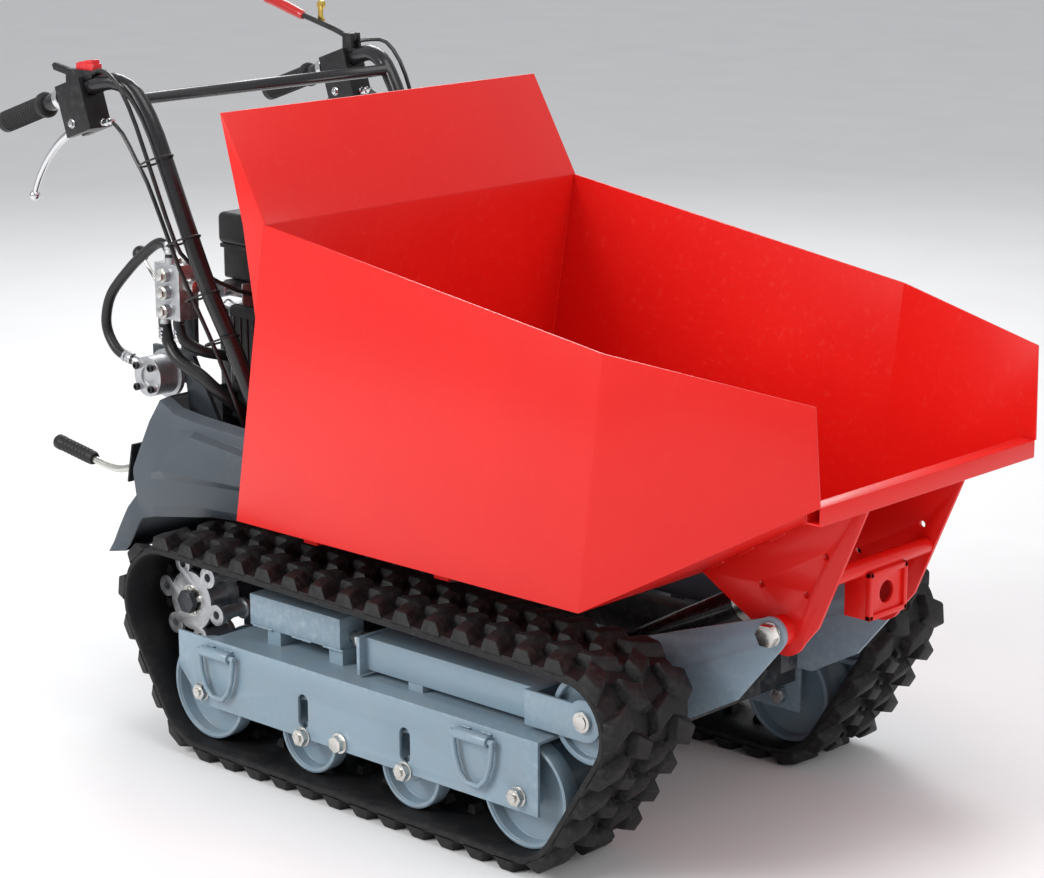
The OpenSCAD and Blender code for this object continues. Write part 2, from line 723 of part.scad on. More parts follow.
// Two rings that hang on one side, with their straight bars in the sleeves.
module tie_rings() {
    half = 38;
    color("lightslategray") for (x = ring_xs) {
        translate([x, ring_y, ring_z]) {
            bar([for (p = [[-half, 0], [-half, -12], [-half + 3, -34], [-half + 12, -58], [-half + 26, -72],
                [half - 26, -72], [half - 12, -58], [half - 3, -34], [half, -12], [half, 0]]) [p[0], 0, p[1]]],
                ring_wire_r - 0.3, 12);
            rod_end = half + ring_wire_r;
            rod_between([-rod_end, 0, 0], [rod_end, 0, 0], ring_wire_r);
        }
    }
}

module tie_rings_left() {
    tie_rings();
}

module tie_rings_right() {
    on_right() tie_rings();
}

// ---- Drive ----

module gearbox() {
    color("dimgray") {
        block([sprocket_x - 70, -78, 165], [rail_rear_x - 6, 78, gearbox_top]);
        block([sprocket_x - 50, -60, 150], [rail_rear_x - 20, 60, 165]);
        both_sides() pin_y([sprocket_x, sprocket_z], 78, 92, boss_outer_r);
        both_sides() for (a = [0 : 60 : 300])
            hex_y([sprocket_x + 42 * cos(a), sprocket_z + 42 * sin(a)], 92, 98, 13);
    }
}

module axle_housings() {
    y_end = track_y - sprocket_half_w - 1;
    color("dimgray") both_sides() {
        pin_y([sprocket_x, sprocket_z], 92, y_end, 30);
        pin_y([sprocket_x, sprocket_z], y_end, track_y + sprocket_half_w + 3, 15 - run_gap);
        hex_y([sprocket_x, sprocket_z], track_y + sprocket_half_w + 3, track_y + sprocket_half_w + 13, 34);
    }
}

module engine_block() {
    base = deck_z + 6;
    color("dimgray") {
        block([-440, -100, base], [-270, 100, base + 24]);
        block([-430, -85, base + 24], [-280, 85, base + 150]);
        pin_y([-355, base + 92], -110, 110, 62);
        for (k = [0 : 7]) block([-420, -78, base + 150 + k * 12], [-268, 78, base + 155 + k * 12]);
        block([-405, -64, base + 150], [-283, 64, base + 250]);
        block([-395, -50, base + 250], [-293, 50, base + 262]);
        pin_y([-355, base + 92], -160, -110, 11);
    }
}

module engine_cowl() {
    base = deck_z + 6;
    color("black") {
        pin_y([-355, base + 92], 110, 150, 91);
        pin_y([-355, base + 92], 150, 172, 62);
        block([-400, 80, base + 155], [-270, 146, base + 240]);
    }
}

module air_cleaner() {
    color("black") {
        block([-462, -160, 776], [-330, -34, 830]);
        block([-455, -154, head_top], [-337, -40, 776]);
        pin_y([-438, 708], -178, -100, 13);
        block([-454, -100, 694], [-421, -62, head_top]);
    }
}

module fuel_tank() {
    color("black") {
        block([-450, -20, head_top], [-250, 176, 812]);
        translate([-350, 90, 812]) cylinder(r = 26, h = 16);
    }
}

module muffler() {
    color("silver") {
        block([-290, -170, 560], [-238, -90, 700]);
        pin_y([-280, 650], -90, -78, 10);
        translate([-264, -130, 700]) cylinder(r = 13, h = 24);
    }
}

// Moulded cover round the gearbox, open at the top and underneath.
cover_y = 270;
cover_t = 4;
cover_back = [[-604, 254], [-645, 246], [-590, 333], [-564, 355], [-571, 401], [-539, 474], [-492, 533]];

module console_cover() {
    color("darkslategray") {
        side_outline = concat([[-246, 366], [-375, 356], [-522, 326], [-560, 312]], cover_back,
            [[-486, 512], [-246, 502]]);
        both_sides() side_plate(side_outline, cover_y - cover_t, cover_y);
        difference() {
            inside = [for (k = [len(cover_back) - 1 : -1 : 1]) cover_back[k] + [cover_t, 0]];
            side_plate(concat([for (k = [1 : len(cover_back) - 1]) cover_back[k]], inside),
                -cover_y + cover_t, cover_y - cover_t);
            block([-620, gear_y - 14, 374], [-500, gear_y + 14, 446]);
        }
        both_sides() block([-486, 216, 496], [-362, cover_y - cover_t, 500]);
    }
}

// ---- Controls ----

module handlebar() {
    route = smooth(handle_route, 2);
    color("black") {
        bar(route, handle_r, 16);
        bar(mirrored(route), handle_r, 16);
        rod_between([-507, -271, 1018], [-507, 271, 1018], 10);
    }
}

module grips() {
    color("black") both_sides() difference() {
        rod_between(on_grip(-4), on_grip(grip_length), grip_r);
        rod_between(on_grip(-0.5), on_grip(grip_length + 5), handle_r + 0.5);
    }
}

module housing_shell() {
    slot = lever_pin_r + 8;
    difference() {
        translate(housing_at) rotate([0, -handle_pitch, 0]) block([-32, -22, -68], [32, 22, 17]);
        rod_between(handle_route[0], handle_route[0] + grip_dir * 400, handle_r + clamp_gap);
        translate(lever_pivot) rotate([0, -handle_pitch, 0]) block([-70, -8, -40], [slot, 8, slot]);
    }
    pin_y([lever_pivot[0], lever_pivot[2]], lever_pivot[1] - 12, lever_pivot[1] + 12, lever_pin_r);
}

module control_housings() {
    color("black") both_sides() housing_shell();
    color("black") {
        // Switch base and throttle bracket on the right.
        difference() {
            block(switch_at + [-26, -15, -32], switch_at + [26, 15, -4]);
            block(switch_at + [-22, -11, -12], switch_at + [22, 11, 10]);
            on_right() rod_between(handle_route[0], handle_route[0] + grip_dir * 400, handle_r + clamp_gap);
        }
        for (dy = [-9, 4]) difference() {
            side_plate([[throttle_at[0] - 8, throttle_at[2] - 20], [throttle_at[0] + 8, throttle_at[2] - 20],
                [throttle_at[0] + 8, throttle_at[2] + 7], [throttle_at[0] - 8, throttle_at[2] + 7]],
                throttle_at[1] + dy, throttle_at[1] + dy + 5);
            on_right() rod_between(handle_route[0], handle_route[0] + grip_dir * 400, handle_r + clamp_gap);
        }
        pin_y([throttle_at[0], throttle_at[2]], throttle_at[1] - 9, throttle_at[1] + 9, lever_pin_r - 1);
        // Fork that the clutch lever turns in on the left.
        for (dy = [-12, 6]) difference() {
            side_plate([[clutch_pivot[0] - 10, clutch_pivot[2] - 30], [clutch_pivot[0] + 14, clutch_pivot[2] - 26],
                [clutch_pivot[0] + 10, clutch_pivot[2] + 9], [clutch_pivot[0] - 10, clutch_pivot[2] + 9]],
                clutch_pivot[1] + dy, clutch_pivot[1] + dy + 6);
            rod_between(handle_route[0], handle_route[0] + grip_dir * 400, handle_r + clamp_gap);
        }
        pin_y([clutch_pivot[0], clutch_pivot[2]], clutch_pivot[1] - 12, clutch_pivot[1] + 12, lever_pin_r);
    }
}

module brake_lever() {
    p = lever_pivot;
    tip = p + [-136, 0, -132];
    color("silver") difference() {
        union() {
            pin_y([p[0], p[2]], p[1] - 7, p[1] + 7, 10);
            bar(smooth([p + [-3, 0, -3], p + [-32, 0, -18], p + [-66, 0, -40], p + [-98, 0, -70],
                p + [-122, 0, -102], tip], 2), 6, 10);
            translate(tip) sphere(9, $fn = 32);
        }
        pin_y([p[0], p[2]], p[1] - 40, p[1] + 40, lever_pin_r + run_gap);
    }
}

module brake_lever_left() {
    brake_lever();
}

module brake_lever_right() {
    on_right() brake_lever();
}

module clutch_lever() {
    p = [clutch_pivot[0], clutch_pivot[2]];
    y = clutch_pivot[1];
    color("darkred") difference() {
        union() {
            pin_y(p, y - 6 + lever_gap, y + 6 - lever_gap, 10);
            side_plate([p + [0, -9], p + [0, 9], p + [-76, 30], p + [-124, 40], p + [-124, 26], p + [-76, 14]],
                y - 4, y + 4);
            side_plate([p + [-124, 22], p + [-122, 42], p + [-222, 68], p + [-226, 58], p + [-220, 48]],
                y - 9, y + 9);
        }
        pin_y(p, y - 20, y + 20, lever_pin_r + run_gap);
    }
    color("black") pin_y(catch_pivot, y + 4, y + 12, lever_pin_r - 1);
}

// Small brass catch that locks the clutch lever down.
module safety_catch() {
    y = clutch_pivot[1];
    color("gold") difference() {
        union() {
            pin_y(catch_pivot, y + 4 + lever_gap, y + 10, 8);
            side_plate([catch_pivot + [-5, 0], catch_pivot + [5, 0], catch_pivot + [3, 26], catch_pivot + [-6, 26]],
                y + 4 + lever_gap, y + 10);
            pin_y(catch_pivot + [-1, 28], y + 4 + lever_gap, y + 14, 8);
        }
        pin_y(catch_pivot, y - 20, y + 30, lever_pin_r - 1 + run_gap);
    }
}

module throttle_lever() {
    p = [throttle_at[0], throttle_at[2]];
    y = throttle_at[1];
    color("black") difference() {
        union() {
            pin_y(p, y - 4 + lever_gap, y + 4 - lever_gap, 7);
            side_plate([p + [2, -6], p + [2, 6], p + [-44, 14], p + [-50, 10], p + [-46, 2]],
                y - 4 + lever_gap, y + 4 - lever_gap);
        }
        pin_y(p, y - 20, y + 20, lever_pin_r - 1 + run_gap);
    }
}

module engine_switch() {
    color("red") block(switch_at + [-21, -10, -8], switch_at + [21, 10, 12]);
}

module gear_lever() {
    p = [gear_pivot[0], gear_pivot[1]];
    color("silver") difference() {
        union() {
            pin_y(p, gear_y - 7, gear_y + 7, 14);
            bar(smooth([[p[0] - 4, gear_y, p[1]], [-540, gear_y, 410], [-590, gear_y, 398], [-641, gear_y, 386],
                [-700, gear_y, 392], [-742, gear_y, 399]], 2), 6, 10);
        }
        pin_y(p, gear_y - 20, gear_y + 20, 8 + run_gap);
    }
    color("black") rod_between([-700, gear_y, 393], [-800, gear_y, 408], 13);
}

// ---- Hydraulics ----

module valve_block() {
    p = [valve_pivot[0], valve_pivot[1]];
    y = valve_lever_y;
    color("silver") {
        block(valve_at + [-30, -20, -44], valve_at + [30, 20, 46]);
        for (dz = [-30, 0, 28]) rod_between(valve_at + [0, -20, dz], valve_at + [0, -30, dz], 11);
        for (dy = [-11, 5]) side_plate([p + [-9, -9], [valve_at[0] - 30, p[1] - 12],
            [valve_at[0] - 30, p[1] + 12], p + [-9, 9]], y + dy, y + dy + 6);
        pin_y(p, y - 11, y + 11, lever_pin_r);
    }
}

module valve_lever() {
    p = [valve_pivot[0], valve_pivot[1]];
    y = valve_lever_y;
    knob = [p[0] - 58, y, p[1] + 62];
    color("black") difference() {
        union() {
            pin_y(p, y - 5 + lever_gap, y + 5 - lever_gap, 8);
            rod_between([p[0] - 3, y, p[1] + 3], knob, 4);
            knob_y(knob, 14, 11);
        }
        pin_y(p, y - 20, y + 20, lever_pin_r + run_gap);
    }
}

module gear_pump() {
    at = [pump_at[0], pump_at[2]];
    color("silver") {
        pin_y(at, pump_back - 8, pump_back, 40);
        difference() {
            pin_y(at, pump_back - 46, pump_back - 8, 33);
            pin_y(at, pump_back - 50, pump_back - 42, 16);
        }
        for (a = [45 : 90 : 315]) pin_y(at + 25 * [cos(a), sin(a)], pump_back - 52, pump_back - 46, 6);
        rod_between(pump_at + [-26, 0, 6], pump_at + [-48, 0, 12], 10);
    }
}

module oil_tank() {
    color("black") {
        block([-484, -140, deck_z + deck_t], [-446, 60, 640]);
        translate([-465, 30, 640]) cylinder(r = 15, h = 14);
    }
}

module hydraulic_hoses() {
    y = valve_at[1] - 11;
    pump_port = pump_at + [-50, 0, 12.5];
    color("black") {
        bar(smooth([pump_port, pump_port + [-24, -5, 6], [-622, y, 595], [-643, y, 622], [-644, y, 652],
            [-626, y, 690], [-577, y, 736], [-545, y, 760], [-510, y, 782], [-488, y, 785], [-477, y, 773],
            [-476, y, 764], [-476, y, 756]], 2), 8, 10);
        bar(smooth([[-495, y, 664], [-495, y, 652], [-486, y, 622], [-462, y, 598], [-428, -234, 578],
            [-404, -222, 556], [-388, -196, 528], [-384, -166, 500], [-384, -140, 480], [-384, -132, 470],
            [-384, -132, deck_z + deck_t + 1]], 2), 9, 10);
        bar(smooth([[-460, y, 664], [-460, y, 654], [-452, y + 3, 632], [-434, -222, 614], [-424, -190, 604],
            [-436, -162, 596], [-458, -150, 592], [-460, -141, 592]], 2), 7, 10);
    }
}

// Cables held between the control housings and the machine.
module control_cables() {
    steering = [[-586, 285, 975], [-566, 284, 979], [-535, 286, 962], [-500, 290, 925], [-470, 292, 890],
        [-442, 288, 830], [-412, 280, 756], [-384, 268, 690], [-362, 250, 620], [-350, 226, 540],
        [-348, 190, 440], [-364, 160, 370], [-388, 125, 314], [-400, 95, 301], [-400, 78.6, 300]];
    throttle = [[-590, -298, 1054], [-568, -302, 1061], [-540, -304, 1056], [-512, -302, 1030], [-486, -298, 980],
        [-446, -294, 885], [-414, -287, 802], [-417, -262, 770], [-408, -235, 745], [-392, -180, 712],
        [-386, -110, 692], [-386, -78.4, 690]];
    clutch = [[-596, 297, 1060], [-574, 306, 1063], [-545, 309, 1060], [-510, 307, 1030], [-480, 304, 975],
        [-438, 298, 872], [-406, 288, 776], [-380, 272, 700], [-352, 256, 610], [-336, 238, 540],
        [-330, 214, 460], [-340, 185, 400], [-346, 140, 330], [-346, 100, 302], [-346, 78.6, 300]];
    color("black") for (route = [steering, mirrored(steering), throttle, clutch])
        bar(smooth(route, 2), cable_r, 8);
}

module cylinder_barrel() {
    reach = cylinder_length - 60;
    color("black") translate([barrel_pin[0], 0, barrel_pin[1]]) rotate([0, -cylinder_angle, 0]) {
        difference() {
            union() {
                translate([40, 0, 0]) rotate([0, 90, 0]) cylinder(r = barrel_r, h = reach - 40);
                pin_y([0, 0], -26, 26, 22);
                block([0, -15, -15], [44, 15, 15]);
            }
            pin_y([0, 0], -60, 60, cylinder_pin_r + run_gap);
            translate([60, 0, 0]) rotate([0, 90, 0]) cylinder(r = barrel_r - 5, h = reach - 80);
            translate([60, 0, 0]) rotate([0, 90, 0]) cylinder(r = rod_r + run_gap, h = reach);
        }
    }
}

module cylinder_rod() {
    color("silver") translate([barrel_pin[0], 0, barrel_pin[1]]) rotate([0, -cylinder_angle, 0]) {
        translate([130, 0, 0]) rotate([0, 90, 0]) cylinder(r = rod_r, h = cylinder_length - 130 - 16);
        translate([110, 0, 0]) rotate([0, 90, 0]) cylinder(r = barrel_r - 5 - run_gap, h = 20);
        pin_y([cylinder_length, 0], -18, 18, 20);
        pin_y([cylinder_length, 0], -38, 38, cylinder_pin_r);
    }
}

hopper_floor();
hopper_side_left();
hopper_side_right();
hopper_rear_wall();
splash_board();
lip_tube();
hinge_plates();
cylinder_hanger();
stop_bracket();
chassis_frame();
pivot_plates();
pivot_bolts();
rest_buffers();
track_beam_left();
track_beam_right();
idler_slides();
tension_screws();
roller_axles();
track_belt_left();
track_belt_right();
sprocket_left();
sprocket_right();
idler_left();
idler_right();
roller_left_1();
roller_left_2();
roller_left_3();
roller_left_4();
roller_right_1();
roller_right_2();
roller_right_3();
roller_right_4();
tie_rings_left();
tie_rings_right();
gearbox();
axle_housings();
engine_block();
engine_cowl();
air_cleaner();
fuel_tank();
muffler();
console_cover();
handlebar();
grips();
control_housings();
valve_block();
gear_pump();
oil_tank();
hydraulic_hoses();
control_cables();
brake_lever_left();
brake_lever_right();
clutch_lever();
throttle_lever();
engine_switch();
safety_catch();
valve_lever();
gear_lever();
cylinder_barrel();
cylinder_rod();
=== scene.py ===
"""Looks of a tracked power wheelbarrow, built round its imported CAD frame.

Every length is in metres in the CAD frame: +X forward to the dump lip, +Y to the
operator's left, +Z up, with the ground at z = 0.
"""
from __future__ import annotations

import json
import logging
import math
from dataclasses import dataclass, field
from enum import Enum
from typing import Iterable, Sequence

import bmesh
import bpy
from bmesh.types import BMEdge, BMesh, BMVert
from mathutils import Matrix, Vector

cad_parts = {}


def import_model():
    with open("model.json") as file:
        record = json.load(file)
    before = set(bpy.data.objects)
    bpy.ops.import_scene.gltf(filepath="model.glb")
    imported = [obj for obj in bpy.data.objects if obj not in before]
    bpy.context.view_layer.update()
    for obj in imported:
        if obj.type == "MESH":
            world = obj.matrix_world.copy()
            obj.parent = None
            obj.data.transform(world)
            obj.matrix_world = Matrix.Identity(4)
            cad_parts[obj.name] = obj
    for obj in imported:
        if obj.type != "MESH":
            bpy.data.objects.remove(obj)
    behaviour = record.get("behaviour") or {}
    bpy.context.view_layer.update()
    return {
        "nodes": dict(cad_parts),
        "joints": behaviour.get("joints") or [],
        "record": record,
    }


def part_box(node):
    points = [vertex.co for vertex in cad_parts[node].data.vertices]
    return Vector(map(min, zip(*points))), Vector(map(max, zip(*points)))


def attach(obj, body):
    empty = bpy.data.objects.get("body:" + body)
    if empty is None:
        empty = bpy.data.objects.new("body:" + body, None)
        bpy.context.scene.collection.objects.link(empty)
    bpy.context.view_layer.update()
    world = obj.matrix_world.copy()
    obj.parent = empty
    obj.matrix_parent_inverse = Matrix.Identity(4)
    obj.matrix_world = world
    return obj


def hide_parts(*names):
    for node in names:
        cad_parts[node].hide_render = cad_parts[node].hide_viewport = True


LOG = logging.getLogger("wheelbarrow")
FULL_TURN = 2 * math.pi
Y_AXIS = Vector((0, 1, 0))
Z_AXIS = Vector((0, 0, 1))
Point = Sequence[float]
Colour = tuple[float, float, float]
SIDES = {"left": 1, "right": -1}
SPECULAR = 0.32
COAT_ROUGHNESS = 0.12
BUMP_STRENGTH = 0.55


# ---------------------------------------------------------------- shader maths


class Number:
    """A shader value that Python's operators combine through Math nodes."""

    def __init__(self, shader: "Shader", socket: bpy.types.NodeSocket) -> None:
        """Wrap a socket.

        Args:
            shader: The shader whose tree holds the socket.
            socket: An output socket that carries one number.
        """
        self.shader = shader
        self.socket = socket

    def _join(self, operation: str, first: object, second: object) -> "Number":
        """Add one Math node and return its result."""
        made = self.shader.node("ShaderNodeMath", {"operation": operation}, {0: first, 1: second})
        return Number(self.shader, made.outputs[0])

    def __add__(self, other: object) -> "Number":
        """Sum."""
        return self._join("ADD", self, other)

    def __radd__(self, other: object) -> "Number":
        """Sum, reflected."""
        return self._join("ADD", other, self)

    def __sub__(self, other: object) -> "Number":
        """Difference."""
        return self._join("SUBTRACT", self, other)

    def __rsub__(self, other: object) -> "Number":
        """Difference, reflected."""
        return self._join("SUBTRACT", other, self)

    def __mul__(self, other: object) -> "Number":
        """Product."""
        return self._join("MULTIPLY", self, other)

    def __rmul__(self, other: object) -> "Number":
        """Product, reflected."""
        return self._join("MULTIPLY", other, self)

    def between(self, low: float, high: float) -> "Number":
        """Share of the way from low to high, kept from 0 to 1.

        Args:
            low: Value that gives 0.
            high: Value that gives 1.

        Returns:
            The clamped share.
        """
        made = self.shader.node("ShaderNodeMapRange", {"clamp": True},
                                {"Value": self, "From Min": low, "From Max": high})
        return Number(self.shader, made.outputs[0])


class Shader:
    """One material's node tree."""

    def __init__(self, name: str) -> None:
        """Start a material that holds a Principled BSDF and nothing else.

        Args:
            name: Name of the material.
        """
        self.material = bpy.data.materials.new(name)
        self.material.use_nodes = True
        self.tree = self.material.node_tree
        self.tree.nodes.clear()
        self.surface = self.node("ShaderNodeBsdfPrincipled")
        output = self.node("ShaderNodeOutputMaterial")
        self.tree.links.new(self.surface.outputs[0], output.inputs["Surface"])
        self.place = self.node("ShaderNodeTexCoord").outputs["Object"]

    def node(self, kind: str, settings: dict[str, object] | None = None,
             values: dict[str | int, object] | None = None) -> bpy.types.Node:
        """Add a node.

        Args:
            kind: Blender's type of node.
            settings: Properties of the node, set first.
            values: Input sockets by name or number, each a link or a constant.

        Returns:
            The new node.
        """
        made = self.tree.nodes.new(kind)
        for key, value in (settings or {}).items():
            setattr(made, key, value)
        for key, value in (values or {}).items():
            self.put(made.inputs[key], value)
        return made

    def put(self, target: bpy.types.NodeSocket, value: object) -> None:
        """Link or set one input.

        Args:
            target: The input.
            value: A link or a constant.
        """
        source = value.socket if isinstance(value, Number) else value
        if isinstance(source, bpy.types.NodeSocket):
            self.tree.links.new(source, target)
        else:
            target.default_value = source

    def noise(self, scale: float, detail: float = 3.0, stretch: Point = (1, 1, 1)) -> Number:
        """Cloudy noise in the frame's own metres.

        Args:
            scale: Clouds in a metre.
            detail: Number of finer layers.
            stretch: How much denser the noise is along each axis.

        Returns:
            The noise, from 0 to 1.
        """
        spread = self.node("ShaderNodeMapping", None, {"Vector": self.place, "Scale": stretch})
        made = self.node("ShaderNodeTexNoise", None,
                         {"Vector": spread.outputs[0], "Scale": scale, "Detail": detail})
        return Number(self, made.outputs[0])

    def cells(self, scale: float) -> Number:
        """Distance from the middle of the nearest cell.

        Args:
            scale: Cells in a metre.

        Returns:
            The distance, from 0 to about 1.
        """
        made = self.node("ShaderNodeTexVoronoi", None, {"Vector": self.place, "Scale": scale})
        return Number(self, made.outputs[0])

    def height(self) -> Number:
        """Height above the ground in metres."""
        return Number(self, self.node("ShaderNodeSeparateXYZ", None, {0: self.place}).outputs[2])

    def facing_up(self) -> Number:
        """How much the surface faces upwards, from -1 to 1."""
        normal = self.node("ShaderNodeNewGeometry").outputs["Normal"]
        return Number(self, self.node("ShaderNodeSeparateXYZ", None, {0: normal}).outputs[2])

    def edges(self) -> Number:
        """How convex the mesh is here, near 0.5 where it is flat."""
        return Number(self, self.node("ShaderNodeNewGeometry").outputs["Pointiness"])

    def blend(self, share: Number, low: object, high: object) -> bpy.types.NodeSocket:
        """Mix two colours.

        Args:
            share: 0 gives low and 1 gives high.
            low: A colour or a colour socket.
            high: A colour or a colour socket.

        Returns:
            The mixed colour's socket.
        """
        full = [(*c, 1.0) if isinstance(c, tuple) else c for c in (low, high)]
        made = self.node("ShaderNodeMix", {"data_type": "RGBA"}, {0: share, 6: full[0], 7: full[1]})
        return made.outputs[2]

    def feed(self, name: str, value: object) -> None:
        """Set or link one input of the Principled BSDF."""
        self.put(self.surface.inputs[name], value)


class Grain(Enum):
    """Small-scale surface of a finish."""

    POWDER = "powder coat"
    CAST = "sand casting"
    PLATED = "plated steel"
    RUBBER = "worn rubber"
    MOULDED = "moulded plastic"
    SMOOTH = "smooth skin"


@dataclass(frozen=True)
class Finish:
    """A finish of the machine, which makes its own material."""

    slot: str
    colour: Colour
    shade: Colour
    grain: Grain
    roughness: float = 0.4
    metallic: float = 0.0
    coat: float = 0.0
    relief: float = 0.0002
    # Colour of convex edges: partly rubbed edges, partly a painted edge highlight.
    wear: Colour | None = None
    wear_amount: float = 0.5
    mottle: float = 1.0
    dust: Colour = (0.30, 0.26, 0.21)
    dust_amount: float = 0.0

    def relief_height(self, shader: Shader) -> Number:
        """Height field of the finish's grain.

        Args:
            shader: Shader to add the nodes to.

        Returns:
            A height from about 0 to 1.
        """
        if self.grain is Grain.POWDER:
            return shader.noise(420, 2) * 0.7 + shader.noise(1500, 1) * 0.3
        if self.grain is Grain.CAST:
            return shader.noise(380, 5) * 0.8 + shader.cells(520) * 0.3
        if self.grain is Grain.PLATED:
            return shader.noise(260, 4, (1, 7, 1)) * 0.6 + shader.noise(1800, 2) * 0.4
        if self.grain is Grain.RUBBER:
            return shader.noise(160, 6) * 0.7 + shader.cells(300) * 0.4
        if self.grain is Grain.MOULDED:
            return shader.cells(950) * 0.6 + shader.noise(700, 2) * 0.4
        return shader.noise(500, 2)

    def make(self) -> bpy.types.Material:
        """Build the material.

        Returns:
            The material, with its colour, gloss, grain, rubbed edges with painted edge highlights, and
            dust.
        """
        shader = Shader(self.slot)
        clouds = shader.noise(7.0, 4)
        specks = shader.noise(90.0, 5)
        tone = (clouds * (1 - 0.2 * self.mottle) + specks * (0.2 * self.mottle)).between(0.30, 0.70)
        colour = shader.blend(tone, self.shade, self.colour)
        uneven = (clouds - 0.5) * (0.12 * self.mottle) + (specks - 0.5) * (0.16 * self.mottle)
        rough = uneven + self.roughness
        # Lighter colour on convex edges: partly rubbed edges, partly a painted highlight on the
        # console's crests and the hopper's sheet edges.
        if self.wear is not None:
            worn = shader.edges().between(0.53, 0.58) * specks.between(0.62 - 0.3 * self.wear_amount,
                                                                       0.72)
            worn = worn * self.wear_amount
            colour = shader.blend(worn, colour, self.wear)
            rough = rough + worn * 0.12
        if self.dust_amount > 0:
            low = 1 - shader.height().between(0.03, 0.42)
            flat = shader.facing_up().between(0.1, 0.9)
            patchy = shader.noise(28.0, 6).between(0.42, 0.66)
            film = (low * 0.7 + flat * 0.3) * patchy * self.dust_amount
            colour = shader.blend(film, colour, self.dust)
            rough = rough + film * 0.3
        shader.feed("Base Color", colour)
        shader.feed("Roughness", rough)
        shader.feed("Metallic", self.metallic)
        shader.feed("Coat Weight", self.coat)
        shader.feed("Specular IOR Level", SPECULAR)
        shader.feed("Coat Roughness", COAT_ROUGHNESS)
        bump = shader.node("ShaderNodeBump", None, {"Strength": BUMP_STRENGTH, "Distance": self.relief,
                                                    "Height": self.relief_height(shader)})
        shader.feed("Normal", bump.outputs[0])
        return shader.material


FINISHES = {f.slot: f for f in (
    # Hopper paint: the brighter red on convex edges is a painted highlight along the sheet edges.
    Finish("hopper_paint", (0.76, 0.012, 0.008), (0.73, 0.010, 0.007), Grain.POWDER, 0.36, 0.0, 0.12,
           0.00008, (0.90, 0.12, 0.08), 0.12, mottle=0.3),
    Finish("frame_paint", (0.245, 0.335, 0.405), (0.215, 0.300, 0.365), Grain.POWDER, 0.34, 0.0, 0.2,
           0.00014, (0.42, 0.50, 0.55), 0.5, dust_amount=0.22),
    Finish("dark_frame", (0.030, 0.036, 0.043), (0.020, 0.025, 0.030), Grain.POWDER, 0.42, 0.0, 0.1,
           0.0002, (0.16, 0.17, 0.18), 0.4, dust_amount=0.25),
    Finish("zinc", (0.70, 0.69, 0.64), (0.50, 0.50, 0.49), Grain.PLATED, 0.27, 1.0, 0.0,
           0.00015, (0.85, 0.84, 0.80), 0.6, dust_amount=0.12),
    Finish("track_rubber", (0.008, 0.008, 0.009), (0.004, 0.004, 0.005), Grain.RUBBER, 0.58, 0.0, 0.0,
           0.0011, (0.050, 0.048, 0.046), 0.5, dust_amount=0.02),
    Finish("soft_rubber", (0.020, 0.020, 0.021), (0.012, 0.012, 0.012), Grain.RUBBER, 0.50, 0.0, 0.0,
           0.0003, (0.07, 0.07, 0.07), 0.5),
    Finish("cast_metal", (0.56, 0.57, 0.58), (0.36, 0.37, 0.39), Grain.CAST, 0.36, 0.9, 0.0,
           0.0007, (0.80, 0.80, 0.80), 0.6, dust_amount=0.1),
    # Console plastic: the lighter grey on convex edges is a painted highlight along the crests.
    Finish("cover_plastic", (0.074, 0.090, 0.107), (0.060, 0.074, 0.090), Grain.MOULDED, 0.40, 0.0, 0.0,
           0.00022, (0.19, 0.21, 0.235), 0.7, dust_amount=0.08),
    Finish("black_tube", (0.014, 0.014, 0.016), (0.009, 0.009, 0.010), Grain.POWDER, 0.26, 0.0, 0.35,
           0.0001, (0.12, 0.12, 0.12), 0.4),
    Finish("black_plastic", (0.018, 0.018, 0.019), (0.010, 0.010, 0.011), Grain.MOULDED, 0.38, 0.0, 0.0,
           0.0002, (0.08, 0.08, 0.08), 0.5),
    Finish("chrome_rod", (0.78, 0.78, 0.80), (0.70, 0.70, 0.72), Grain.PLATED, 0.10, 1.0, 0.0, 0.00003),
    Finish("lever_metal", (0.76, 0.76, 0.77), (0.62, 0.62, 0.64), Grain.PLATED, 0.18, 1.0, 0.0,
           0.00008, (0.9, 0.9, 0.9), 0.4),
    Finish("engine_grey", (0.11, 0.11, 0.115), (0.06, 0.06, 0.065), Grain.CAST, 0.45, 0.7, 0.0,
           0.0007, (0.4, 0.4, 0.4), 0.6, dust_amount=0.1),
    Finish("switch_red", (0.72, 0.015, 0.020), (0.60, 0.010, 0.014), Grain.SMOOTH, 0.28, 0.0, 0.4,
           0.0001, (0.85, 0.2, 0.18), 0.3),
    Finish("lever_red", (0.52, 0.012, 0.012), (0.40, 0.008, 0.008), Grain.SMOOTH, 0.30, 0.0, 0.5,
           0.0002, (0.7, 0.15, 0.12), 0.3),
    Finish("catch_brass", (0.72, 0.52, 0.13), (0.60, 0.40, 0.10), Grain.PLATED, 0.30, 0.9, 0.0, 0.0001),
    Finish("hose_rubber", (0.017, 0.017, 0.018), (0.010, 0.010, 0.010), Grain.SMOOTH, 0.36, 0.0, 0.15,
           0.0003, (0.08, 0.08, 0.08), 0.3),
    Finish("muffler_steel", (0.40, 0.36, 0.31), (0.22, 0.19, 0.17), Grain.CAST, 0.45, 1.0, 0.0,
           0.0004, (0.5, 0.45, 0.4), 0.5),
)}


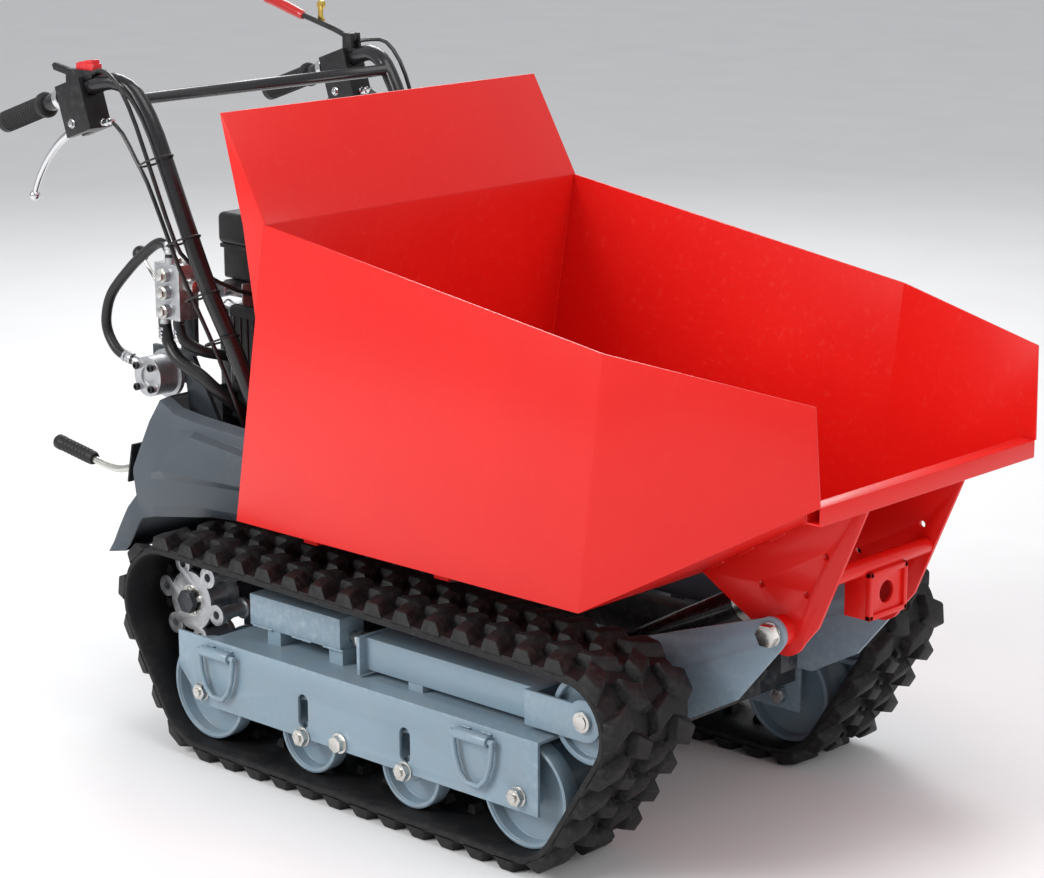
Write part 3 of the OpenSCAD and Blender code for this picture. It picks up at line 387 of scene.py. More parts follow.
# Rounding of CAD nodes that keep their shape: nodes, width, steps across, and the angle
# in degrees past which an edge is rounded.
USUAL_ROUNDING = (0.0008, 2, 32.0)
ROUNDED = (
    ("hopper_floor hopper_side_left hopper_side_right hopper_rear_wall splash_board", 0.0011, 2, 12.0),
    ("handlebar control_cables tie_rings_left tie_rings_right", 0.0, 2, 32.0),
    ("cylinder_rod", 0.0006, 2, 32.0),
    ("hinge_plates cylinder_hanger roller_axles", 0.0010, 2, 32.0),
    ("pivot_plates pivot_bolts", 0.0012, 2, 32.0),
    ("cylinder_barrel", 0.0015, 2, 32.0),
    ("stop_bracket track_beam_left track_beam_right idler_slides", 0.0016, 2, 32.0),
    ("chassis_frame axle_housings engine_block", 0.0016, 2, 32.0),
    ("throttle_lever", 0.0016, 3, 32.0),
    ("idler_left idler_right", 0.0020, 3, 32.0),
    ("lip_tube control_housings sprocket_left sprocket_right", 0.0022, 3, 32.0),
    ("roller_left_1 roller_left_2 roller_left_3 roller_left_4", 0.0022, 3, 32.0),
    ("roller_right_1 roller_right_2 roller_right_3 roller_right_4", 0.0022, 3, 32.0),
    ("gear_pump", 0.0024, 3, 32.0),
    ("valve_block rest_buffers", 0.0030, 3, 32.0),
    ("gearbox", 0.0040, 3, 32.0),
    ("oil_tank", 0.006, 4, 32.0),
)


# ---------------------------------------------------------------- mesh tools


def put_in_scene(name: str, data: bpy.types.ID) -> bpy.types.Object:
    """Make an object and show it.

    Args:
        name: Name of the object.
        data: Its mesh, light or camera.

    Returns:
        The new object.
    """
    made = bpy.data.objects.new(name, data)
    bpy.context.scene.collection.objects.link(made)
    return made


def mesh_of(work: BMesh, name: str) -> bpy.types.Mesh:
    """Turn a bmesh into a mesh and free it.

    Args:
        work: The shape.
        name: Name of the mesh.

    Returns:
        The mesh.
    """
    mesh = bpy.data.meshes.new(name)
    work.to_mesh(mesh)
    work.free()
    return mesh


class Workshop:
    """Makes finished pieces: materials, edges, riding and slots."""

    def __init__(self, nodes: dict[str, bpy.types.Object], record: dict) -> None:
        """Prepare every material once.

        Args:
            nodes: CAD nodes by name.
            record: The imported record.
        """
        self.nodes = nodes
        self.slots = {row["node"]: row["material_slot"] for row in record["subparts"]}
        self.body_of = {n: b for b, ns in record["behaviour"]["bodies"].items() for n in ns}
        self.materials = {slot: finish.make() for slot, finish in FINISHES.items()}
        self.count = 0

    def piece(self, work: BMesh, name: str, slot: str, body: str,
              replaces: Sequence[str] = (), crease: float = 38.0) -> bpy.types.Object:
        """Turn a bmesh into a finished piece.

        Args:
            work: The shape, in the CAD frame. It is freed.
            name: Name of the piece.
            slot: Material slot of the record.
            body: CAD body that the piece rides on.
            replaces: CAD nodes that it stands for.
            crease: Angle in degrees past which an edge is shown sharp.

        Returns:
            The new object.
        """
        mesh = mesh_of(work, name)
        mesh.shade_smooth()
        mesh.set_sharp_from_angle(angle=math.radians(crease))
        mesh.materials.append(self.materials[slot])
        made = put_in_scene(name, mesh)
        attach(made, body)
        if replaces:
            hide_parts(*replaces)
        self.count += 1
        LOG.info("piece %s on %s: %d faces", name, body, len(mesh.polygons))
        return made

    def refined(self, node: str) -> None:
        """Copy a CAD node with merged points and rounded edges.

        Args:
            node: Name of the CAD node, which the copy stands for.
        """
        edge, segments, crease = next((row[1:] for row in ROUNDED if node in row[0].split()),
                                      USUAL_ROUNDING)
        work = bmesh.new()
        work.from_mesh(self.nodes[node].data)
        bmesh.ops.remove_doubles(work, verts=work.verts, dist=2e-5)
        bmesh.ops.dissolve_degenerate(work, edges=work.edges, dist=1e-5)
        bmesh.ops.dissolve_limit(work, verts=work.verts, edges=work.edges,
                                 angle_limit=math.radians(0.6))
        sharp = [e for e in work.edges if e.is_manifold and e.calc_face_angle(0) > math.radians(crease)]
        if edge > 0 and sharp:
            round_edges(work, sharp, edge, segments)
        self.piece(work, f"{node}_finished", self.slots[node], self.body_of[node], [node])

    def dress_rest(self) -> None:
        """Give every CAD node that still shows a refined copy."""
        for node in sorted(self.nodes):
            if not self.nodes[node].hide_render:
                self.refined(node)


def round_edges(work: BMesh, edges: Iterable[BMEdge], width: float,
                segments: int = 2) -> None:
    """Round some edges of a shape.

    Args:
        work: The shape.
        edges: Edges to round.
        width: Width of the rounding in metres.
        segments: Number of steps across it.
    """
    bmesh.ops.bevel(work, geom=list(edges), offset=width, offset_type="OFFSET", segments=segments,
                    profile=0.5, affect="EDGES", clamp_overlap=True, material=-1)


def outward(work: BMesh) -> BMesh:
    """Merge doubles and turn every face outwards."""
    bmesh.ops.remove_doubles(work, verts=work.verts, dist=1e-6)
    bmesh.ops.recalc_face_normals(work, faces=work.faces)
    return work


def seat(at: Point, axis: Point) -> Matrix:
    """Matrix that moves the origin to a point and turns +Z to an axis."""
    turn = Vector(axis).normalized().to_track_quat("Z", "Y").to_matrix().to_4x4()
    return Matrix.Translation(Vector(at)) @ turn


def angles(count: int, start: float = 0.0) -> list[float]:
    """Even steps round a circle, in radians."""
    return [FULL_TURN * k / count + start for k in range(count)]


def extruded(work: BMesh, edges: Sequence[BMEdge]) -> tuple[list, list]:
    """Extrude some edges in place.

    Args:
        work: The shape.
        edges: Edges to extrude.

    Returns:
        The new points, and the new edges between them.
    """
    grown = bmesh.ops.extrude_edge_only(work, edges=edges)["geom"]
    verts = [v for v in grown if isinstance(v, BMVert)]
    known = set(verts)
    return verts, [e for e in grown if isinstance(e, BMEdge) and known.issuperset(e.verts)]


def add_box(work: BMesh, low: Point, high: Point, edge: float = 0.002, segments: int = 2,
            turn: Matrix | None = None) -> None:
    """Add a box with rounded edges.

    Args:
        work: The shape to add to.
        low: Lowest corner.
        high: Highest corner.
        edge: Width of the rounding.
        segments: Steps across the rounding.
        turn: Turn of the box about its middle.
    """
    low, high = Vector(low), Vector(high)
    place = Matrix.Translation((low + high) / 2) @ (turn or Matrix.Identity(4))
    size = Matrix.Diagonal((*(high - low), 1))
    verts = bmesh.ops.create_cube(work, size=1, matrix=place @ size)["verts"]
    if edge > 0:
        edges = {e for v in verts for e in v.link_edges}
        round_edges(work, edges, edge, segments)


def add_spin(work: BMesh, profile: Sequence[tuple[float, float]], at: Point,
             axis: Point, steps: int = 40) -> None:
    """Turn a profile round an axis.

    Args:
        work: The shape to add to.
        profile: Pairs of distance along the axis and radius, from end to end. If
            neither end is on the axis, the profile is closed into a ring.
        at: Point on the axis where the distance is 0.
        axis: Direction of the axis.
        steps: Number of steps in the full turn.
    """
    part = bmesh.new()
    hollow = profile[0][1] > 0 and profile[-1][1] > 0
    ring = [part.verts.new((max(r, 0.0), 0, h)) for h, r in profile]
    if hollow:
        ring.append(ring[0])
    for a, b in zip(ring, ring[1:]):
        part.edges.new((a, b))
    bmesh.ops.spin(part, geom=part.verts[:] + part.edges[:], cent=(0, 0, 0), axis=(0, 0, 1),
                   angle=FULL_TURN, steps=steps, use_merge=True)
    outward(part)
    if not hollow:
        bmesh.ops.holes_fill(part, edges=[e for e in part.edges if e.is_boundary], sides=0)
    bmesh.ops.recalc_face_normals(part, faces=part.faces)
    part.transform(seat(at, axis))
    merge_in(work, part)


def merge_in(work: BMesh, part: BMesh) -> None:
    """Move one shape into another.

    Args:
        work: The shape that grows.
        part: The shape that is added and freed.
    """
    mesh = mesh_of(part, "part")
    work.from_mesh(mesh)
    bpy.data.meshes.remove(mesh)


def smooth_path(points: Sequence[Point], steps: int = 6) -> list[Vector]:
    """Points of a smooth curve through the given ones.

    Args:
        points: Points that the curve passes.
        steps: Number of steps from each point to the next.

    Returns:
        The curve's points.
    """
    p = [Vector(q) for q in points]
    out = []
    for i in range(len(p) - 1):
        a, b, c, d = p[max(i - 1, 0)], p[i], p[i + 1], p[min(i + 2, len(p) - 1)]
        for k in range(steps):
            t = k / steps
            out.append(0.5 * (2 * b + (c - a) * t + (2 * a - 5 * b + 4 * c - d) * t * t
                              + (3 * b - a - 3 * c + d) * t ** 3))
    return out + [p[-1]]


def add_tube(work: BMesh, path: Sequence[Vector], radius: float | Sequence[float],
             sides: int = 12) -> None:
    """Sweep a round section along a path and close its ends.

    Args:
        work: The shape to add to.
        path: Points of the path.
        radius: Radius of the section, or one radius for each point.
        sides: Number of sides of the section.
    """
    radii = [radius] * len(path) if isinstance(radius, (int, float)) else list(radius)
    part = bmesh.new()
    loop = bmesh.ops.create_circle(part, cap_ends=False, radius=1, segments=sides)["verts"]
    flat = [v.co.copy() for v in loop]
    edges = part.edges[:]
    start = edges
    across = Vector((0.123, 1, 0.087))
    for i, point in enumerate(path):
        ahead = path[min(i + 1, len(path) - 1)] - path[max(i - 1, 0)]
        ahead.normalize()
        across = (across - across.dot(ahead) * ahead).normalized()
        other = ahead.cross(across)
        if i:
            loop, edges = extruded(part, edges)
        for vert, at in zip(loop, flat):
            vert.co = point + radii[i] * (at.x * across + at.y * other)
    bmesh.ops.contextual_create(part, geom=start)
    bmesh.ops.contextual_create(part, geom=edges)
    bmesh.ops.recalc_face_normals(part, faces=part.faces)
    merge_in(work, part)


def add_bolt(work: BMesh, at: Point, axis: Point, across: float = 0.016,
             height: float = 0.008, washer: float | None = None, stud: float = 0.0) -> None:
    """Add a hexagon head or nut with its washer and the end of its stud.

    Args:
        work: The shape to add to.
        at: Middle of the seat.
        axis: Direction that the head stands out in.
        across: Size across the flats.
        height: Height of the head above its washer.
        washer: Radius of the washer, or None for the usual one.
        stud: How far a threaded end stands past the head.
    """
    thick = across * 0.1
    radius = across * 0.78 if washer is None else washer
    part = bmesh.new()
    bmesh.ops.create_cone(part, cap_ends=True, segments=24, radius1=radius, radius2=radius, depth=thick,
                          matrix=Matrix.Translation((0, 0, thick / 2)))
    corner = across / math.sqrt(3)
    before = set(part.verts)
    bmesh.ops.create_cone(part, cap_ends=True, segments=6, radius1=corner, radius2=corner, depth=height,
                          matrix=Matrix.Translation((0, 0, thick + height / 2)))
    new = [v for v in part.verts if v not in before]
    top = [e for v in new for e in v.link_edges if all(w.co.z > thick + height * 0.6 for w in e.verts)]
    round_edges(part, set(top), across * 0.07, 2)
    if stud > 0:
        for k in range(4):
            z = thick + height + stud * (k + 0.5) / 4
            bmesh.ops.create_cone(part, cap_ends=True, segments=16, radius1=across * 0.33,
                                  radius2=across * 0.28, depth=stud / 4,
                                  matrix=Matrix.Translation((0, 0, z)))
    part.transform(seat(at, axis))
    merge_in(work, part)


def add_weld(work: BMesh, start: Point, end: Point, radius: float = 0.003) -> None:
    """Add a rippled weld bead.

    Args:
        work: The shape to add to.
        start: One end of the bead.
        end: Its other end.
        radius: Mean radius of the bead.
    """
    start, end = Vector(start), Vector(end)
    steps = max(int((end - start).length / 0.004), 3)
    path = [start.lerp(end, k / steps) for k in range(steps + 1)]
    ripples = [0.22 * math.sin(k * 2.1) * (1 if 0 < k < steps else 0) for k in range(steps + 1)]
    radii = [radius * (1.0 + ripple) for ripple in ripples]
    radii[0] = radii[-1] = radius * 0.5
    add_tube(work, path, radii, 6)


def add_net(work: BMesh, rows: Sequence[Sequence[Point]]) -> None:
    """Add a sheet whose points are given row by row.

    Args:
        work: The shape to add to.
        rows: Rows of points, all of one length.
    """
    part = bmesh.new()
    bmesh.ops.create_grid(part, x_segments=len(rows[0]) - 1, y_segments=len(rows) - 1, size=1)
    ordered = sorted(part.verts, key=lambda v: (round(v.co.y, 4), round(v.co.x, 4)))
    for vert, point in zip(ordered, [p for row in rows for p in row]):
        vert.co = point
    merge_in(work, part)


# ---------------------------------------------------------------- sub-assemblies


@dataclass
class Assembly:
    """Pieces that one workshop makes round the record's joints."""

    shop: Workshop
    joints: list[dict]

    def joint(self, name: str) -> dict:
        """The record's joint of a name."""
        return next(j for j in self.joints if j["name"] == name)

    def stand(self, name: str) -> Vector:
        """Point on a joint's axis, in the CAD frame."""
        return Vector(self.joint(name)["pos_m"])


@dataclass
class Track(Assembly):
    """One rubber track, wrapped round its four wheels."""

    side: str
    links: int = 39
    width: float = 0.180
    carcass: float = 0.013
    lug: float = 0.0168
    horn: float = 0.011
    radii: tuple[float, float, float, float] = (0.067, 0.086, 0.082, 0.082)
    circles: list[tuple[float, float, float]] = field(default_factory=list)
    middle: float = 0.0

    def __post_init__(self) -> None:
        """Find the wheels."""
        names = ("idler_{}_spin", "sprocket_{}_spin", "roller_{}_1_spin", "roller_{}_4_spin")
        for name, radius in zip(names, self.radii):
            at = self.stand(name.format(self.side))
            self.circles.append((at.x, at.z, radius))
            self.middle = at.y
        self.spans = [self._span(i) for i in range(4)]
        self.length = sum(arc + run for _, _, arc, run in self.spans)

    def _normal(self, i: int) -> float:
        """Outward direction of the straight run after wheel i, in radians."""
        a, b = self.circles[i % 4], self.circles[(i + 1) % 4]
        apart = math.hypot(b[0] - a[0], b[1] - a[1])
        return math.atan2(b[1] - a[1], b[0] - a[0]) - math.acos((a[2] - b[2]) / apart)

    def _span(self, i: int) -> tuple[float, float, float, float]:
        """Start angle, run angle, arc length and run length at wheel i."""
        a, b = self.circles[i], self.circles[(i + 1) % 4]
        first, last = self._normal(i + 3), self._normal(i)
        arc = a[2] * ((last - first) % FULL_TURN)
        run = math.sqrt((b[0] - a[0]) ** 2 + (b[1] - a[1]) ** 2 - (a[2] - b[2]) ** 2)
        return first, last, arc, run

    def place(self, along: float, out: float) -> tuple[float, float]:
        """Side-view point of the track.

        Args:
            along: Distance round the inner face.
            out: Distance outwards from the inner face.

        Returns:
            The point's x and z.
        """
        s = along % self.length
        for (cx, cz, r), (first, last, arc, run) in zip(self.circles, self.spans):
            if s <= arc:
                a = first + s / r
                return cx + (r + out) * math.cos(a), cz + (r + out) * math.sin(a)
            s -= arc
            if s <= run:
                c, n = math.cos(last), math.sin(last)
                return cx + (r + out) * c - s * n, cz + (r + out) * n + s * c
            s -= run
        return self.place(0.0, out)

    def wrap(self, work: BMesh) -> None:
        """Bend a flat shape, x along, y across and z outwards, round the wheels."""
        for vert in work.verts:
            x, z = self.place(vert.co.x, vert.co.z)
            vert.co = (x, self.middle + vert.co.y, z)

    def band(self) -> BMesh:
        """The carcass with its rounded shoulders."""
        half, t = self.width / 2, self.carcass
        section = [(-half + 0.004, 0), (-0.030, 0.0), (-0.026, 0.0015), (0.026, 0.0015), (0.030, 0),
                   (half - 0.004, 0), (half, 0.003), (half, t - 0.004), (half - 0.004, t),
                   (0, t - 0.0006), (-half + 0.004, t), (-half, t - 0.004), (-half, 0.003)]
        work = bmesh.new()
        verts = [work.verts.new((0, y, z)) for y, z in section]
        edges = [work.edges.new((verts[i], verts[(i + 1) % len(verts)])) for i in range(len(verts))]
        steps = self.links * 5
        for _ in range(steps):
            new, edges = extruded(work, edges)
            bmesh.ops.translate(work, verts=new, vec=(self.length / steps, 0, 0))
        return work

    def block(self, work: BMesh, along: float, across: float, size: Point, skew: float,
              lean: float) -> None:
        """Add one ground lug in flat space.

        Args:
            work: The flat shape to add to.
            along: Middle of the lug along the track.
            across: Middle of the lug across the track.
            size: Length, width and height of the lug.
            skew: How far its outer end is shifted along the track.
            lean: How far its crown is shifted along the track.
        """
        part = bmesh.new()
        verts = bmesh.ops.create_cube(part, size=1)["verts"]
        for v in verts:
            top = v.co.z > 0
            narrow = 0.58 if top else 1.0
            y = v.co.y * size[1] * (0.84 if top else 1.0)
            x = v.co.x * size[0] * narrow + skew * v.co.y + (lean if top else 0)
            v.co = (along + x, across + y, self.carcass - 0.001 + (size[2] + 0.001 if top else 0))
        round_edges(part, [e for e in part.edges if max(v.co.z for v in e.verts) > self.carcass],
                    0.0022, 2)
        merge_in(work, part)

    def build(self) -> None:
        """Make the track as one piece."""
        pitch = self.length / self.links
        lugs = bmesh.new()
        outer = 1 if self.middle > 0 else -1
        columns = ((-0.0665, 0.0, 0.046, 0.040, 0.016), (-0.0215, 0.5, 0.040, 0.036, -0.014),
                   (0.0215, 0.0, 0.040, 0.036, 0.014), (0.0665, 0.5, 0.046, 0.040, -0.016))
        for k in range(self.links):
            for across, phase, wide, long, skew in columns:
                self.block(lugs, (k + phase + 0.3) * pitch, across * outer, (long, wide, self.lug),
                           skew * outer, 0.004)
            self.block(lugs, (k + 0.05) * pitch, 0.0, (0.018, 0.020, self.lug * 0.45), 0.0, 0.0)
        for k in range(self.links):
            low = bmesh.ops.create_cube(lugs, size=1)["verts"]
            for v in low:
                deep = v.co.z < 0
                v.co = ((k + 0.35) * pitch + v.co.x * (0.010 if deep else 0.018),
                        v.co.y * (0.016 if deep else 0.022), -self.horn if deep else 0.002)
        band = self.band()
        merge_in(band, lugs)
        self.wrap(band)
        bmesh.ops.remove_doubles(band, verts=band.verts, dist=1e-5)
        bmesh.ops.recalc_face_normals(band, faces=band.faces)
        self.shop.piece(band, f"track_{self.side}_rubber", "track_rubber", "root",
                        [f"track_belt_{self.side}"])


# Stitch welds under the ramp: place across, how many, first x, step, depth below the sheet
# and radius of the bead.
STITCH = 0.030
STITCHES = (
    (0.117, 5, 0.535, 0.055, 0.0012, 0.0028),
    (0.109, 5, 0.535, 0.055, 0.0012, 0.0028),
    (0.0215, 2, 0.522, 0.058, 0.001, 0.0026),
    (0.0325, 2, 0.522, 0.058, 0.001, 0.0026),
)


@dataclass
class Hopper(Assembly):
    """The tipping hopper with its plates, welds and bracket."""

    half: float = 0.344
    lip_half: float = 0.255

    def build(self) -> None:
        """Add the bracket's frame and the welds."""
        self.bracket_window()
        self.welds()

    def bracket_window(self) -> None:
        """Raised frame and ears on the front of the stop bracket."""
        low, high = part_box("stop_bracket")
        front = high.x - 0.0005
        work = bmesh.new()
        for z0, z1 in ((low.z, low.z + 0.008), (low.z + 0.062, low.z + 0.070)):
            add_box(work, (front - 0.004, -0.044, z0), (front + 0.005, 0.044, z1), 0.0012, 2)
        for y in (-0.044, 0.036):
            add_box(work, (front - 0.004, y, low.z), (front + 0.005, y + 0.008, low.z + 0.070), 0.0012,
                    2)
        self.shop.piece(work, "stop_bracket_rim", "hopper_paint", "hopper")

    def welds(self) -> None:
        """Beads along the seams and stitches under the ramp."""
        work = bmesh.new()
        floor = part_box("hopper_floor")
        rear, low = floor[0].x, 0.395
        front, lip_x, lip_z = 0.491, 0.808, 0.575
        slope = (lip_z - low) / (lip_x - front)
        inner = self.half - 0.0035
        for sign in (1, -1):
            add_weld(work, (rear + 0.004, sign * inner, low + 0.0035),
                     (front, sign * inner, low + 0.0035), 0.0022)
            add_weld(work, (rear + 0.005, sign * inner, low + 0.006),
                     (rear + 0.080, sign * inner, low + 0.455), 0.0022)
            add_weld(work, (front, sign * inner, low + 0.0035),
                     (lip_x, sign * (self.lip_half + 0.004), lip_z + 0.004), 0.0022)
            for y, count, first, step, sink, radius in STITCHES:
                for k in range(count):
                    x0 = first + k * step
                    add_weld(work, *((x, sign * y, low + (x - front) * slope - sink)
                                     for x in (x0, x0 + STITCH)), radius)
        for k in range(6):
            y0 = -0.235 + k * 0.083
            add_weld(work, (lip_x - 0.001, y0, lip_z - 0.0035),
                     (lip_x - 0.001, y0 + 0.032, lip_z - 0.0035), 0.003)
        self.shop.piece(work, "hopper_welds", "hopper_paint", "hopper", crease=60)


@dataclass
class Undercarriage(Assembly):
    """Fasteners, rims and welds of beams and wheels."""

    roller_nut: float = 0.3712
    adjuster: tuple[float, float, float] = (0.033, 0.3713, 0.101)
    beam_face: float = 0.3722
    slide_face: float = 0.3252
    hub_face: float = 0.3245

    def build(self) -> None:
        """Add fasteners, rims and welds."""
        self.fasteners()
        self.wheel_rims()
        self.plate_welds()

    def fasteners(self) -> None:
        """Washers, studs and sprocket bolts on both sides."""
        work = bmesh.new()
        for side, sign in SIDES.items():
            for k in range(4):
                at = self.stand(f"roller_{side}_{k + 1}_spin")
                add_spin(work,
                         [(0, 0.009), (0.0, 0.0145), (0.0026, 0.0150), (0.0032, 0.0138),
                          (0.0032, 0.009)], (at.x, sign * self.roller_nut, at.z), (0, sign, 0), 28)
                add_tube(work,
                         [Vector((at.x, sign * 0.3830, at.z)), Vector((at.x, sign * 0.3868, at.z))],
                         0.0068, 18)
            x, y, z = self.adjuster
            add_bolt(work, (x, sign * y, z), (0, sign, 0), 0.024, 0.010, 0.016)
        self.shop.piece(work, "beam_fasteners", "zinc", "root", crease=30)
        for side, sign in SIDES.items():
            at = self.stand(f"sprocket_{side}_spin")
            hub = bmesh.new()
            face = sign * self.hub_face
            add_spin(hub, [(0, 0.012), (0, 0.028), (0.004, 0.028), (0.006, 0.026), (0.006, 0.012)],
                     (at.x, face, at.z), (0, sign, 0), 32)
            for a in angles(5, 0.3):
                add_bolt(hub,
                         (at.x + 0.020 * math.cos(a), face + sign * 0.0055, at.z + 0.020 * math.sin(a)),
                         (0, sign, 0), 0.008, 0.004)
            self.shop.piece(hub, f"sprocket_{side}_hub_bolts", "zinc", f"sprocket_{side}", crease=30)

    def wheel_rims(self) -> None:
        """Rolled outer lips of the track rollers."""
        for side, sign in SIDES.items():
            for k in range(4):
                body = f"roller_{side}_{k + 1}"
                at = self.stand(f"{body}_spin")
                low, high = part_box(body)
                radius = (high.x - low.x) / 2
                face = high.y if sign > 0 else low.y
                rim = bmesh.new()
                add_spin(rim,
                         [(-0.004, radius - 0.0065), (0.001, radius - 0.0065),
                               (0.0028, radius - 0.0052), (0.0030, radius - 0.0025),
                               (0.0016, radius - 0.0004), (-0.004, radius - 0.0004)],
                         (at.x, face, at.z), (0, sign, 0), 64)
                self.shop.piece(rim, f"{body}_rim", "frame_paint", body, crease=50)

    def plate_welds(self) -> None:
        """Beads where the beams' parts meet."""
        work = bmesh.new()
        for sign in (1, -1):
            for x in (-0.237, 0.320):
                for dx in (-0.031, 0.011):
                    for z in (0.1745, 0.1915):
                        add_weld(work, (x + dx, sign * self.beam_face, z),
                                 (x + dx + 0.020, sign * self.beam_face, z), 0.0024)
            for x in (-0.210, -0.120, -0.050):
                add_weld(work, (x, sign * self.slide_face, 0.2255),
                         (x + 0.045, sign * self.slide_face, 0.2255), 0.0024)
        self.shop.piece(work, "beam_welds", "frame_paint", "root", crease=60)


@dataclass
class Chassis(Assembly):
    """Rails, pivot plates, buffers and the tipping cylinder."""

    def build(self) -> None:
        """Add the details of cylinder and gearbox."""
        self.cylinder_trim()
        self.gearbox_trim()

    def cylinder_trim(self) -> None:
        """Gland and ports on the barrel."""
        work = bmesh.new()
        foot = self.stand("barrel_swing")
        along = Vector(self.joint("rod_slide")["axis"])
        reach = (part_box("cylinder_barrel")[1] - foot).dot(along)
        gland = foot + along * (reach - 0.030)
        add_spin(work, [(0, 0.0272), (0, 0.0295), (0.018, 0.0295), (0.020, 0.0275)], gland, along, 36)
        for d in (0.060, reach - 0.060):
            port = foot + along * d + Vector((-along.z, 0, along.x)) * -0.026
            add_spin(work,
                     [(0, 0.0), (0, 0.008), (0.010, 0.008), (0.010, 0.006), (0.018, 0.006),
                      (0.018, 0.0)], port, Vector((along.z, 0, -along.x)), 18)
        self.shop.piece(work, "cylinder_gland_and_ports", "zinc", "barrel", crease=30)

    def gearbox_trim(self) -> None:
        """Ribs and seam bolts on the gearbox."""
        low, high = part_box("gearbox")
        work = bmesh.new()
        for k in range(5):
            x = low.x + 0.018 + k * (high.x - low.x - 0.070) / 4
            add_box(work, (x - 0.002, -0.070, high.z - 0.001), (x + 0.002, 0.070, high.z - 0.0002),
                    0.0003, 1)
        for sign in (1, -1):
            for k in range(4):
                z = low.z + 0.035 + k * 0.040
                add_bolt(work, (low.x + 0.0005, sign * 0.066, z), (-1, 0, 0), 0.011, 0.006)
        self.shop.piece(work, "gearbox_bolts", "zinc", "root", crease=30)


